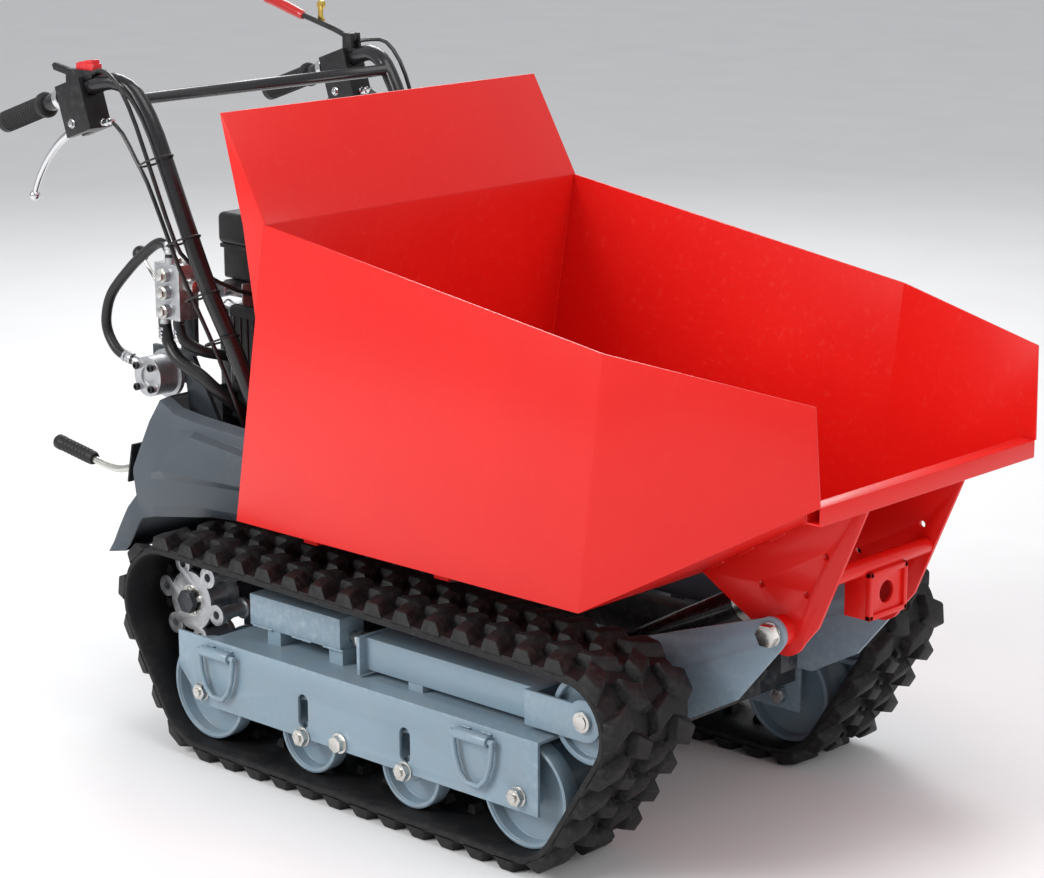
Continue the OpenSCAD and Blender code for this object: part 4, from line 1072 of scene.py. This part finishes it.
@dataclass
class Engine(Assembly):
    """Covers, tank, cleaner, muffler and starter of the engine."""

    centre: tuple[float, float] = (-0.355, 0.553)
    cap: tuple[float, float, float] = (-0.350, 0.090, 0.812)

    def build(self) -> None:
        """Make the engine's covers, starter and fittings."""
        self.tank()
        self.cleaner()
        self.starter()
        self.exhaust()
        self.fittings()
        self.carburettor_side()

    def tank(self) -> None:
        """Round fuel tank with its seam and cap."""
        low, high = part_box("fuel_tank")
        cap_x, cap_y, top = self.cap
        work = bmesh.new()
        add_box(work, low, (high.x, high.y, top), 0.024, 6)
        seam = low.z + 0.036
        add_box(work, (low.x, low.y, seam - 0.002), (high.x, high.y, seam + 0.002), 0.0012, 2)
        self.shop.piece(work, "fuel_tank_shell", "black_plastic", "root", ["fuel_tank"])
        cap = bmesh.new()
        add_spin(cap,
                 [(0, 0.0), (0, 0.022), (0.003, 0.026), (0.012, 0.026), (0.0155, 0.022), (0.0160, 0.0)],
                 (cap_x, cap_y, top - 0.0005), Z_AXIS, 36)
        for a in angles(18):
            at = Vector((cap_x + 0.0262 * math.cos(a), cap_y + 0.0262 * math.sin(a), top + 0.003))
            add_tube(cap, [at, at + Vector((0, 0, 0.008))], 0.0016, 6)
        self.shop.piece(cap, "fuel_cap", "black_plastic", "root")

    def cleaner(self) -> None:
        """Square air cleaner with lid, clips and intake."""
        low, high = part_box("air_cleaner")
        work = bmesh.new()
        add_box(work, (low.x, -0.160, 0.778), (high.x, -0.034, high.z), 0.010, 4)
        add_box(work, (low.x + 0.007, -0.154, 0.722), (high.x - 0.007, -0.040, 0.776), 0.005, 3)
        add_box(work, (low.x + 0.004, -0.157, 0.772), (high.x - 0.004, -0.037, 0.779), 0.001, 1)
        self.shop.piece(work, "air_cleaner_case", "black_plastic", "root", ["air_cleaner"])
        metal = bmesh.new()
        for y in (-0.125, -0.070):
            add_tube(metal, smooth_path([(low.x - 0.001, y, 0.765), (low.x - 0.006, y, 0.778),
                                         (low.x - 0.001, y, 0.792)], 4), 0.0018, 8)
        add_spin(metal,
                 [(0, 0.0), (0, 0.012), (0.002, 0.0135), (0.052, 0.0135), (0.054, 0.012),
                         (0.054, 0.009), (0.078, 0.009), (0.078, 0.0)], (-0.438, -0.178, 0.708), Y_AXIS,
                 28)
        add_box(metal, (-0.454, -0.100, 0.694), (-0.421, -0.062, 0.7225), 0.003, 2)
        self.shop.piece(metal, "carburettor_and_clips", "cast_metal", "root", crease=30)

    def starter(self) -> None:
        """Recoil starter cover with vents and its pull handle."""
        x, z = self.centre
        work = bmesh.new()
        add_spin(work,
                 [(0, 0.0), (0, 0.090), (0.006, 0.0905), (0.030, 0.088), (0.040, 0.080), (0.043, 0.062),
                        (0.058, 0.058), (0.061, 0.050), (0.061, 0.0)], (x, 0.111, z), Y_AXIS, 64)
        for ring, count in ((0.070, 28), (0.050, 20), (0.036, 14)):
            for a in angles(count):
                spoke = Vector((math.cos(a), 0, math.sin(a)))
                at = Vector((x, 0.0, z)) + spoke * ring
                depth = 0.1535 if ring > 0.06 else 0.1715
                turn = Matrix.Rotation(-a, 4, "Y")
                add_box(work, at + Vector((-0.007, depth - 0.0012, -0.0018)),
                        at + Vector((0.007, depth + 0.0024, 0.0018)), 0.0006, 1, turn)
        add_box(work, (-0.400, 0.082, 0.617), (-0.270, 0.146, 0.700), 0.010, 3)
        self.shop.piece(work, "starter_cover", "black_plastic", "root", ["engine_cowl"])
        pull = bmesh.new()
        add_tube(pull,
                 smooth_path([(-0.405, 0.150, 0.618), (-0.418, 0.152, 0.630), (-0.428, 0.153, 0.640)],
                             4), 0.0022, 8)
        add_box(pull, (-0.440, 0.134, 0.636), (-0.424, 0.172, 0.650), 0.005, 3)
        self.shop.piece(pull, "starter_handle", "soft_rubber", "root")

    def exhaust(self) -> None:
        """Muffler box with its slotted guard."""
        low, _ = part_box("muffler")
        work = bmesh.new()
        add_box(work, (low.x, -0.168, low.z), (-0.240, -0.092, 0.700), 0.008, 3)
        add_spin(work,
                 [(0, 0.0), (0, 0.0125), (0.024, 0.0125), (0.024, 0.010), (0.010, 0.010), (0.010, 0.0)],
                 (-0.264, -0.130, 0.6995), Z_AXIS, 24)
        add_tube(work, [Vector((-0.280, -0.092, 0.650)), Vector((-0.280, -0.078, 0.650))], 0.010, 20)
        for k in range(9):
            z = low.z + 0.018 + k * 0.0138
            add_box(work, (low.x + 0.008, -0.1702, z), (-0.246, -0.1670, z + 0.006), 0.0010, 1)
        self.shop.piece(work, "muffler_and_guard", "muffler_steel", "root", ["muffler"], crease=30)

    def carburettor_side(self) -> None:
        """Shroud, governor linkage, springs and fuel line on the carburettor's side."""
        dark = bmesh.new()
        add_box(dark, (-0.448, -0.112, 0.560), (-0.400, -0.060, 0.692), 0.008, 3)
        add_box(dark, (-0.436, -0.150, 0.600), (-0.404, -0.104, 0.676), 0.006, 3)
        add_box(dark, (-0.430, -0.158, 0.486), (-0.398, -0.112, 0.560), 0.010, 3)
        for k in range(5):
            z = 0.612 + k * 0.012
            add_box(dark, (-0.438, -0.1525, z), (-0.402, -0.1495, z + 0.005), 0.001, 1)
        add_box(dark, (-0.405, -0.192, 0.545), (-0.300, -0.168, 0.690), 0.010, 4)
        for k in range(6):
            x = -0.392 + k * 0.016
            add_box(dark, (x, -0.1945, 0.565), (x + 0.006, -0.1905, 0.672), 0.0015, 2)
        self.shop.piece(dark, "engine_shroud", "black_plastic", "root")
        metal = bmesh.new()
        add_box(metal, (-0.452, -0.168, 0.676), (-0.392, -0.120, 0.6795), 0.0008, 1)
        add_box(metal, (-0.398, -0.166, 0.640), (-0.3950, -0.122, 0.720), 0.0008, 1)
        add_tube(metal,
                 smooth_path([(-0.448, -0.160, 0.682), (-0.430, -0.166, 0.690), (-0.410, -0.164, 0.684),
                                     (-0.396, -0.150, 0.692)], 5), 0.0018, 8)
        spring = [Vector((-0.445 + 0.040 * t, -0.157 + 0.0045 * math.cos(t * 90),
                          0.700 + 0.0045 * math.sin(t * 90)))
                  for t in (k / 120 for k in range(121))]
        add_tube(metal, spring, 0.0009, 6)
        for x, z in ((-0.442, 0.668), (-0.412, 0.556), (-0.426, 0.500)):
            add_bolt(metal, (x, -0.1585, z), (0, -1, 0), 0.010, 0.005)
        self.shop.piece(metal, "governor_linkage", "cast_metal", "root", crease=30)
        line = bmesh.new()
        add_tube(line,
                 smooth_path([(-0.440, -0.022, 0.740), (-0.470, -0.040, 0.730), (-0.474, -0.090, 0.712),
                                    (-0.462, -0.128, 0.704), (-0.452, -0.134, 0.704)], 6), 0.0035, 10)
        self.shop.piece(line, "fuel_line", "hose_rubber", "root")

    def fittings(self) -> None:
        """Head bolts, a ring of side bolts and the spark plug lead."""
        work = bmesh.new()
        for x in (-0.395, -0.293):
            for y in (-0.056, 0.056):
                add_bolt(work, (x + (0.006 if x < -0.35 else -0.004), y, 0.711), Z_AXIS, 0.012, 0.007)
        for a in angles(6, 0.5):
            add_bolt(work,
                     (self.centre[0] + 0.052 * math.cos(a), -0.110,
                      self.centre[1] + 0.052 * math.sin(a)), (0, -1, 0), 0.010, 0.005)
        self.shop.piece(work, "engine_bolts", "zinc", "root", crease=30)
        plug = bmesh.new()
        add_tube(plug,
                 smooth_path([(-0.405, -0.020, 0.672), (-0.425, -0.020, 0.676), (-0.436, -0.018, 0.690),
                                    (-0.432, -0.008, 0.716), (-0.420, 0.020, 0.726)], 5), 0.0040, 10)
        self.shop.piece(plug, "spark_plug_lead", "hose_rubber", "root")


@dataclass
class Console(Assembly):
    """Moulded rear cover with its creases and gear lever gate."""

    thick: float = 0.004

    def side_rows(self) -> list[list[tuple[float, float, float]]]:
        """Right-hand side of the cover, row by row from the rim down.

        Returns:
            Rows of points from the rear to the front.
        """
        return [
            [(-0.489, -0.246, 0.536), (-0.454, -0.250, 0.523), (-0.395, -0.251, 0.517),
             (-0.246, -0.252, 0.510)],
            [(-0.496, -0.262, 0.530), (-0.456, -0.266, 0.512), (-0.398, -0.267, 0.507),
             (-0.246, -0.267, 0.498)],
            [(-0.519, -0.263, 0.497), (-0.444, -0.265, 0.488), (-0.404, -0.267, 0.494),
             (-0.246, -0.267, 0.478)],
            [(-0.522, -0.264, 0.492), (-0.450, -0.267, 0.474), (-0.402, -0.281, 0.487),
             (-0.246, -0.281, 0.471)],
            [(-0.546, -0.264, 0.448), (-0.496, -0.267, 0.436), (-0.440, -0.283, 0.453),
             (-0.246, -0.281, 0.446)],
            [(-0.570, -0.263, 0.404), (-0.520, -0.267, 0.404), (-0.474, -0.285, 0.419),
             (-0.246, -0.282, 0.427)],
            [(-0.572, -0.262, 0.394), (-0.524, -0.266, 0.394), (-0.468, -0.275, 0.404),
             (-0.246, -0.274, 0.419)],
            [(-0.566, -0.262, 0.358), (-0.512, -0.268, 0.350), (-0.400, -0.271, 0.370),
             (-0.246, -0.271, 0.378)],
            [(-0.560, -0.256, 0.318), (-0.521, -0.260, 0.329), (-0.376, -0.260, 0.354),
             (-0.246, -0.260, 0.364)],
        ]

    def build(self) -> None:
        """Make the shell, the tail and the trim."""
        rows = self.side_rows()
        half = bmesh.new()
        add_net(half, rows)
        back = []
        for row in rows:
            x, y, z = row[0]
            back.append([(x - 0.010 * s, y * (1 - s), z) for s in (0, 0.08, 0.30, 0.60, 1.0)][::-1])
        add_net(half, back)
        outer = [(-0.566, 0.358), (-0.590, 0.333), (-0.612, 0.298), (-0.630, 0.266), (-0.645, 0.246)]
        inner = [(-0.560, 0.318), (-0.570, 0.306), (-0.584, 0.284), (-0.596, 0.265), (-0.606, 0.253)]
        add_net(half, [[(x, -y, z) for x, z in outer] for y in (0.262, 0.200, 0.100, 0.0)])
        add_net(half, [[(x, -0.256, z) for x, z in inner], [(x, -0.262, z) for x, z in outer]])
        add_net(half,
                [[(inner[-1][0], -y, inner[-1][1]),
                  (outer[-1][0], -y - 0.006 * (y > 0.25), outer[-1][1])]
                       for y in (0.256, 0.200, 0.100, 0.0)])
        bmesh.ops.remove_doubles(half, verts=half.verts, dist=0.0012)
        copy = bmesh.ops.duplicate(half, geom=half.verts[:] + half.edges[:] + half.faces[:])["geom"]
        other = [g for g in copy if isinstance(g, BMVert)]
        bmesh.ops.scale(half, vec=(1, -1, 1), verts=other)
        bmesh.ops.remove_doubles(half, verts=half.verts, dist=0.0005)
        bmesh.ops.recalc_face_normals(half, faces=half.faces)
        if sum(f.normal.x * f.calc_area() for f in half.faces if f.calc_center_median().x < -0.55) > 0:
            bmesh.ops.reverse_faces(half, faces=half.faces)
        bmesh.ops.triangulate(half, faces=[f for f in half.faces if len(f.verts) > 4])
        shell = self.shop.piece(half, "console_shell", "cover_plastic", "root", ["console_cover"],
                                crease=24)
        solid = shell.modifiers.new("wall", "SOLIDIFY")
        solid.thickness = self.thick
        solid.offset = -1
        soft = shell.modifiers.new("edges", "BEVEL")
        soft.width = 0.0018
        soft.segments = 2
        soft.limit_method = "ANGLE"
        soft.angle_limit = math.radians(16)
        self.trim()

    def trim(self) -> None:
        """Gate plate and screws; the gate plate's black also paints the shade of the gap round the
        lever.
        """
        work = bmesh.new()
        # Black gate plate round the lever: a real plate, whose black is also painted shade for the gap
        # round the lever.
        add_box(work, (-0.5815, -0.262, 0.376), (-0.5770, -0.212, 0.444), 0.0016, 2,
                Matrix.Rotation(math.radians(12), 4, "Y"))
        self.shop.piece(work, "gear_gate", "black_plastic", "root")
        screws = bmesh.new()
        for y in (-0.236, 0.236):
            for x, z in ((-0.5165, 0.500), (-0.5770, 0.366)):
                add_spin(screws,
                         [(0, 0.0), (0, 0.0065), (0.002, 0.0062), (0.0035, 0.004), (0.0038, 0.0)],
                         (x - 0.004, y, z), (-1, 0, 0.25), 20)
        self.shop.piece(screws, "console_screws", "zinc", "root", crease=30)


@dataclass
class Handles(Assembly):
    """Handlebar, grips, housings, levers and switches."""

    end: tuple[float, float, float] = (-0.831, 0.292, 0.956)
    next_point: tuple[float, float, float] = (-0.713, 0.290, 0.996)

    def on_grip(self, distance: float, sign: int = 1) -> Vector:
        """Point on a grip's axis.

        Args:
            distance: Metres from the grip's end.
            sign: 1 for the left side and -1 for the right.

        Returns:
            The point.
        """
        a, b = Vector(self.end), Vector(self.next_point)
        at = a + (b - a).normalized() * distance
        return Vector((at.x, at.y * sign, at.z))

    def build(self) -> None:
        """Make every control."""
        self.grips()
        self.housings()
        for side in SIDES:
            self.brake_lever(side)
        self.clutch()
        self.throttle_and_switch()
        self.gear_lever()
        self.cables()

    def grips(self) -> None:
        """Ribbed rubber grips with a flange and a rounded end."""
        work = bmesh.new()
        for sign in (1, -1):
            start, along = self.on_grip(-0.004, sign), self.on_grip(1.0, sign) - self.on_grip(0, sign)
            profile = [(0.0, 0.0), (0.0, 0.013), (0.0015, 0.0165), (0.004, 0.018), (0.012, 0.018)]
            for k in range(14):
                d = 0.016 + k * 0.0066
                profile += [(d, 0.0180), (d + 0.0012, 0.0166), (d + 0.0040, 0.0166),
                            (d + 0.0052, 0.0180)]
            profile += [(0.113, 0.0180), (0.115, 0.0212), (0.121, 0.0214), (0.1235, 0.019),
                        (0.1250, 0.0145)]
            add_spin(work, profile, start, along, 36)
        self.shop.piece(work, "rubber_grips", "soft_rubber", "root", ["grips"], crease=40)

    def housings(self) -> None:
        """Clamped housings with screws, collars and adjusters."""
        metal = bmesh.new()
        for side, sign in SIDES.items():
            along = (self.on_grip(1.0, sign) - self.on_grip(0, sign)).normalized()
            add_spin(metal,
                     [(0, 0.0142), (0, 0.0175), (0.010, 0.0175), (0.011, 0.0165), (0.011, 0.0142)],
                     self.on_grip(0.152, sign), along, 28)
            pivot = self.stand(f"brake_lever_{side}_squeeze")
            add_bolt(metal, (pivot.x, pivot.y - 0.0220, pivot.z), (0, -1, 0), 0.010, 0.004)
            add_bolt(metal, (pivot.x, pivot.y + 0.0220, pivot.z), (0, 1, 0), 0.010, 0.004)
            nose = Vector((-0.5885, 0.285 * sign, 0.9745))
            add_spin(metal, [(0, 0.0), (0, 0.0062), (0.006, 0.0062), (0.007, 0.0050), (0.012, 0.0050),
                             (0.013, 0.0062), (0.019, 0.0062), (0.021, 0.0044), (0.030, 0.0042),
                             (0.030, 0.0)],
                     nose, (0.98, -0.02 * sign, 0.15), 20)
        self.shop.piece(metal, "housing_hardware", "lever_metal", "root", crease=30)

    def brake_lever(self, side: str) -> None:
        """Curved blade lever with a ball end.

        Args:
            side: Name of the side.
        """
        pivot = self.stand(f"brake_lever_{side}_squeeze")
        work = bmesh.new()
        add_spin(work,
                 [(-0.007, 0.0041), (-0.007, 0.009), (-0.006, 0.010), (0.006, 0.010), (0.007, 0.009),
                        (0.007, 0.0041)], pivot, Y_AXIS, 32)
        offsets = [(-0.006, -0.004), (-0.032, -0.018), (-0.066, -0.040), (-0.098, -0.070),
                   (-0.122, -0.102), (-0.136, -0.130)]
        path = smooth_path([pivot + Vector((x, 0, z)) for x, z in offsets], 6)
        count = len(path) - 1
        radii = [0.0068 - 0.0022 * k / count for k in range(count + 1)]
        add_tube(work, path, radii, 14)
        tip = pivot + Vector((-0.136, 0, -0.132))
        bmesh.ops.create_uvsphere(work, u_segments=20, v_segments=12, radius=0.009,
                                  matrix=Matrix.Translation(tip))
        self.shop.piece(work, f"brake_lever_{side}_blade", "lever_metal", f"brake_lever_{side}",
                        [f"brake_lever_{side}"])

    def clutch(self) -> None:
        """Dipped clutch lever on its black arm, with the catch."""
        pivot = self.stand("clutch_lever_press")
        arm = bmesh.new()
        add_spin(arm, [(-0.0054, 0.0041), (-0.0054, 0.0095), (0.0054, 0.0095), (0.0054, 0.0041)], pivot,
                 Y_AXIS, 28)
        add_tube(arm, smooth_path([pivot + Vector(v) for v in ((-0.008, 0, 0.001), (-0.040, 0, 0.012),
                                                               (-0.084, 0, 0.023), (-0.128, 0, 0.034))],
                                  5),
                 0.0052, 12)
        at = self.stand("safety_catch_turn")
        add_spin(arm, [(0.004, 0.0), (0.004, 0.003), (0.0145, 0.003), (0.0145, 0.0)], at, Y_AXIS, 18)
        self.shop.piece(arm, "clutch_arm", "black_plastic", "clutch_lever", ["clutch_lever"])
        grip = bmesh.new()
        path = smooth_path([pivot + Vector(v) for v in ((-0.120, 0, 0.031), (-0.150, 0, 0.040),
                                                        (-0.185, 0, 0.050), (-0.222, 0, 0.058))], 5)
        count = len(path) - 1
        radii = [0.0078 + 0.0022 * math.sin(math.pi * k / count) + (0.0006 if k > count - 3 else 0)
                 for k in range(count + 1)]
        radii[0], radii[-1] = 0.0064, 0.0058
        add_tube(grip, path, radii, 16)
        self.shop.piece(grip, "clutch_grip", "lever_red", "clutch_lever")
        catch = bmesh.new()
        low = at.y + 0.0045
        add_spin(catch, [(0.0045, 0.0031), (0.0045, 0.0078), (0.0098, 0.0078), (0.0098, 0.0031)], at,
                 Y_AXIS, 24)
        add_box(catch, (at.x - 0.0052, low, at.z + 0.003), (at.x + 0.0042, low + 0.0052, at.z + 0.026),
                0.001, 2)
        add_spin(catch,
                 [(0.0048, 0.0), (0.0048, 0.0068), (0.006, 0.0078), (0.0128, 0.0078), (0.014, 0.0066),
                         (0.014, 0.0)], (at.x - 0.001, at.y, at.z + 0.028), Y_AXIS, 24)
        self.shop.piece(catch, "safety_catch_knob", "catch_brass", "safety_catch", ["safety_catch"])

    def throttle_and_switch(self) -> None:
        """Rocker switch."""
        low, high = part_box("engine_switch")
        work = bmesh.new()
        add_box(work, low, (high.x, high.y, high.z - 0.006), 0.0015, 2)
        mid = (low + high) / 2
        tilt = Matrix.Rotation(math.radians(-9), 4, "Y")
        add_box(work, (low.x + 0.003, low.y + 0.001, high.z - 0.011),
                (high.x - 0.003, high.y - 0.001, high.z - 0.002), 0.0022, 3, tilt)
        add_box(work, (mid.x - 0.0012, low.y + 0.002, high.z - 0.0065),
                (mid.x + 0.0012, high.y - 0.002, high.z - 0.0015), 0.0005, 1)
        self.shop.piece(work, "rocker_switch", "switch_red", "engine_switch", ["engine_switch"])

    def gear_lever(self) -> None:
        """Bent shaft with a ribbed grip."""
        pivot = self.stand("gear_lever_shift")
        y = pivot.y
        work = bmesh.new()
        add_spin(work, [(-0.007, 0.0081), (-0.007, 0.0135), (0.007, 0.0135), (0.007, 0.0081)], pivot,
                 Y_AXIS, 32)
        add_tube(work,
                 smooth_path([(-0.4735 - 0.006, y, 0.4148), (-0.540, y, 0.410), (-0.590, y, 0.398),
                                    (-0.641, y, 0.386), (-0.700, y, 0.392), (-0.712, y, 0.394)], 6),
                 0.0062, 16)
        self.shop.piece(work, "gear_lever_shaft", "zinc", "gear_lever", ["gear_lever"])
        grip = bmesh.new()
        along = Vector((-0.100, 0, 0.015)).normalized()
        profile = [(0.0, 0.0062), (0.0, 0.0100), (0.004, 0.0118)]
        for k in range(8):
            d = 0.008 + k * 0.0095
            profile += [(d, 0.0122), (d + 0.0020, 0.0108), (d + 0.0055, 0.0112), (d + 0.0075, 0.0126)]
        profile += [(0.088, 0.0130), (0.097, 0.0126), (0.1008, 0.0096), (0.1012, 0.0)]
        add_spin(grip, profile, (-0.700, y, 0.393), along, 32)
        self.shop.piece(grip, "gear_lever_grip", "soft_rubber", "gear_lever")

    def cables(self) -> None:
        """Ties that hold the control cables."""
        ties = bmesh.new()
        for sign in (1, -1):
            for x, y, z, wide in ((-0.455, 0.272, 0.925, 0.030), (-0.405, 0.264, 0.802, 0.030),
                                  (-0.374, 0.254, 0.716, 0.030), (-0.349, 0.238, 0.646, 0.030)):
                ring = [Vector((x - 0.006 + wide * math.cos(a),
                                sign * (y + 0.008) + 0.024 * math.sin(a), z + 0.012 * math.cos(a)))
                        for a in (FULL_TURN * k / 20 for k in range(21))]
                add_tube(ties, ring, 0.0018, 6)
        self.shop.piece(ties, "cable_ties", "black_plastic", "root", crease=60)


@dataclass
class Hydraulics(Assembly):
    """Valve, pump, hoses and fittings."""

    valve: tuple[float, float, float] = (-0.476, -0.235, 0.709)
    pump: tuple[float, float, float] = (-0.526, -0.235, 0.564)
    hose_y: float = -0.246

    def build(self) -> None:
        """Make the valve, the pump and their lines."""
        self.valve_body()
        self.pump_body()
        self.hoses()
        self.fittings()
        self.lever()

    def valve_body(self) -> None:
        """Cast valve with its caps, ports and section screws."""
        x, y, z = self.valve
        work = bmesh.new()
        for dz in (-0.030, 0.0, 0.028):
            add_bolt(work, (x, y - 0.030, z + dz), (0, -1, 0), 0.015, 0.006)
        for dx in (-0.019, 0.0, 0.019):
            add_bolt(work, (x + dx, y + 0.004, z + 0.046), Z_AXIS, 0.011, 0.006)
        for dz in (-0.034, 0.034):
            add_bolt(work, (x - 0.030, y + 0.010, z + dz), (-1, 0, 0), 0.009, 0.006)
        add_spin(work,
                 [(0, 0.0), (0, 0.012), (0.006, 0.012), (0.008, 0.010), (0.020, 0.010), (0.022, 0.0)],
                 (x + 0.030, y, z + 0.012), (1, 0, 0), 24)
        self.shop.piece(work, "valve_caps", "zinc", "root", crease=30)

    def pump_body(self) -> None:
        """Cover screws of the gear pump."""
        x, y, z = self.pump
        work = bmesh.new()
        for k in range(4):
            a = math.radians(45 + 90 * k)
            at = (x + 0.025 * math.cos(a), y - 0.0320, z + 0.025 * math.sin(a))
            add_spin(work, [(0, 0.0), (0, 0.0062), (0.005, 0.0062), (0.006, 0.0052), (0.006, 0.0034),
                            (0.003, 0.0032), (0.003, 0.0)], at, (0, -1, 0), 20)
        self.shop.piece(work, "pump_screws", "black_plastic", "root", crease=30)

    def hoses(self) -> None:
        """The three hoses between valve, pump and tank."""
        y = self.hose_y
        loop = [(-0.576, -0.235, 0.5765), (-0.600, -0.240, 0.5825), (-0.622, y, 0.595),
                (-0.643, y, 0.622), (-0.644, y, 0.652), (-0.626, y, 0.690), (-0.577, y, 0.736),
                (-0.545, y, 0.760), (-0.510, y, 0.782), (-0.488, y, 0.785), (-0.477, y, 0.773),
                (-0.476, y, 0.764), (-0.476, y, 0.756)]
        tank = [(-0.495, y, 0.664), (-0.495, y, 0.652), (-0.486, y, 0.622), (-0.462, y, 0.598),
                (-0.428, -0.234, 0.578), (-0.404, -0.222, 0.556), (-0.388, -0.196, 0.528),
                (-0.384, -0.166, 0.500), (-0.384, -0.140, 0.480), (-0.384, -0.132, 0.470),
                (-0.384, -0.132, 0.462)]
        back = [(-0.460, y, 0.664), (-0.460, y, 0.654), (-0.452, -0.243, 0.632),
                (-0.434, -0.222, 0.614), (-0.424, -0.190, 0.604), (-0.436, -0.162, 0.596),
                (-0.458, -0.150, 0.592), (-0.460, -0.141, 0.592)]
        work = bmesh.new()
        for route, radius in ((loop, 0.0086), (tank, 0.0104), (back, 0.0092)):
            add_tube(work, smooth_path(route, 6), radius, 20)
        self.shop.piece(work, "hydraulic_hose_set", "hose_rubber", "root", ["hydraulic_hoses"],
                        crease=60)

    def collar(self, work: BMesh, at: Point, axis: Point, radius: float) -> None:
        """Add a crimped hose end.

        Args:
            work: The shape to add to.
            at: Start of the fitting, at its port.
            axis: Direction along the hose.
            radius: Radius of the hose.
        """
        nut, r = radius * 1.15, radius
        add_spin(work,
                 [(0, 0.0), (0, nut), (0.010, nut), (0.011, r * 0.8), (0.015, r * 0.8),
                        (0.016, r + 0.0016), (0.020, r + 0.0022), (0.022, r + 0.0010),
                        (0.026, r + 0.0022), (0.028, r + 0.0010), (0.032, r + 0.0022),
                        (0.035, r + 0.0012), (0.036, r * 0.6)], at, axis, 24)

    def fittings(self) -> None:
        """Crimped ends on every hose."""
        y = self.hose_y
        work = bmesh.new()
        self.collar(work, (-0.476, y, 0.7548), (0.0, 0, 1), 0.008)
        self.collar(work, (-0.576, y + 0.011, 0.5765), (-0.95, -0.18, 0.25), 0.008)
        self.collar(work, (-0.495, y, 0.6652), (0, 0, -1), 0.009)
        self.collar(work, (-0.460, y, 0.6652), (0, 0, -1), 0.0075)
        self.collar(work, (-0.384, -0.132, 0.4612), (0, 0, 1), 0.009)
        self.shop.piece(work, "hose_fittings", "cast_metal", "root", crease=30)

    def lever(self) -> None:
        """Thin rod with a ball knob."""
        pivot = self.stand("valve_lever_tilt")
        knob = pivot + Vector((-0.058, 0, 0.062))
        rod = bmesh.new()
        add_spin(rod, [(-0.0046, 0.0041), (-0.0046, 0.008), (0.0046, 0.008), (0.0046, 0.0041)], pivot,
                 Y_AXIS, 24)
        start = pivot + (knob - pivot).normalized() * 0.006
        add_tube(rod, [start, start.lerp(knob, 0.25), start.lerp(knob, 0.30), knob],
                 [0.004, 0.004, 0.0032, 0.0032], 12)
        self.shop.piece(rod, "valve_lever_rod", "zinc", "valve_lever", ["valve_lever"])
        ball = bmesh.new()
        bmesh.ops.create_uvsphere(ball, u_segments=28, v_segments=16, radius=0.0138,
                                  matrix=Matrix.Translation(knob))
        self.shop.piece(ball, "valve_lever_knob", "black_plastic", "valve_lever")


# ---------------------------------------------------------------- studio


@dataclass
class Studio:
    """Floor, lights and camera."""

    lens: float = 96.83
    place: tuple[float, float, float] = (2.9687, -3.0919, 1.5553)
    azimuth: float = 43.22
    elevation: float = 13.85
    roll: float = -0.28
    target: tuple[float, float, float] = (0, 0, 0.4)
    sky: tuple[float, float, float, float] = (0.96, 0.97, 1.0, 1)
    sky_strength: float = 0.55
    floor_tones: tuple[Colour, Colour] = ((0.88, 0.88, 0.88), (0.91, 0.91, 0.91))

    def camera(self) -> None:
        """Set the camera at the viewing angle."""
        data = bpy.data.cameras.new("view")
        data.lens = self.lens
        data.sensor_width = 36
        data.clip_end = 60
        a, e, r = (math.radians(v) for v in (self.azimuth, self.elevation, self.roll))
        back = Vector((math.sin(a) * math.cos(e), -math.cos(a) * math.cos(e), math.sin(e)))
        side = (-back).cross(Z_AXIS).normalized()
        up = side.cross(-back)
        right = side * math.cos(r) + up * math.sin(r)
        top = up * math.cos(r) - side * math.sin(r)
        turn = Matrix((right, top, back)).transposed().to_4x4()
        made = put_in_scene("view", data)
        made.matrix_world = Matrix.Translation(self.place) @ turn
        bpy.context.scene.camera = made

    def light(self, name: str, place: Point, size: float, power: float) -> None:
        """Add a soft area light.

        Args:
            name: Name of the light.
            place: Where it stands.
            size: Width of its square.
            power: Power in watts.
        """
        data = bpy.data.lights.new(name, "AREA")
        data.size = size
        data.energy = power
        made = put_in_scene(name, data)
        made.location = place
        made.rotation_euler = (Vector(self.target) - Vector(place)).to_track_quat("-Z", "Y").to_euler()

    def build(self) -> None:
        """Make the whole studio."""
        self.camera()
        self.light("key", (-1.6, -4.0, 3.0), 2.2, 150)
        self.light("fill", (4.4, 0.4, 2.2), 2.0, 36)
        self.light("rim", (-2.8, 2.8, 3.2), 2.0, 70)
        self.light("top", (1.2, -0.2, 4.4), 2.6, 55)
        world = bpy.data.worlds.new("studio")
        world.use_nodes = True
        sky = world.node_tree.nodes["Background"]
        sky.inputs["Color"].default_value = self.sky
        sky.inputs["Strength"].default_value = self.sky_strength
        bpy.context.scene.world = world
        bpy.context.scene.view_settings.view_transform = "Standard"
        shader = Shader("floor")
        tone = shader.noise(3.0, 3).between(0.3, 0.7)
        shader.feed("Base Color", shader.blend(tone, *self.floor_tones))
        shader.feed("Roughness", 0.75)
        work = bmesh.new()
        bmesh.ops.create_grid(work, x_segments=2, y_segments=2, size=40)
        mesh = mesh_of(work, "floor")
        mesh.materials.append(shader.material)
        floor = put_in_scene("floor", mesh)


def main() -> None:
    """Build the machine round the frame."""
    logging.basicConfig(level=logging.INFO, format="%(message)s")
    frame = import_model()
    joints = frame["joints"]
    shop = Workshop(frame["nodes"], frame["record"])
    Studio().build()
    tracks = [Track(shop, joints, side) for side in SIDES]
    kinds = (Undercarriage, Chassis, Engine, Console, Handles, Hydraulics)
    for assembly in (Hopper(shop, joints), *tracks, *(kind(shop, joints) for kind in kinds)):
        assembly.build()
    shop.dress_rest()
    LOG.info("%d pieces", shop.count)


if __name__ == "__main__":
    main()
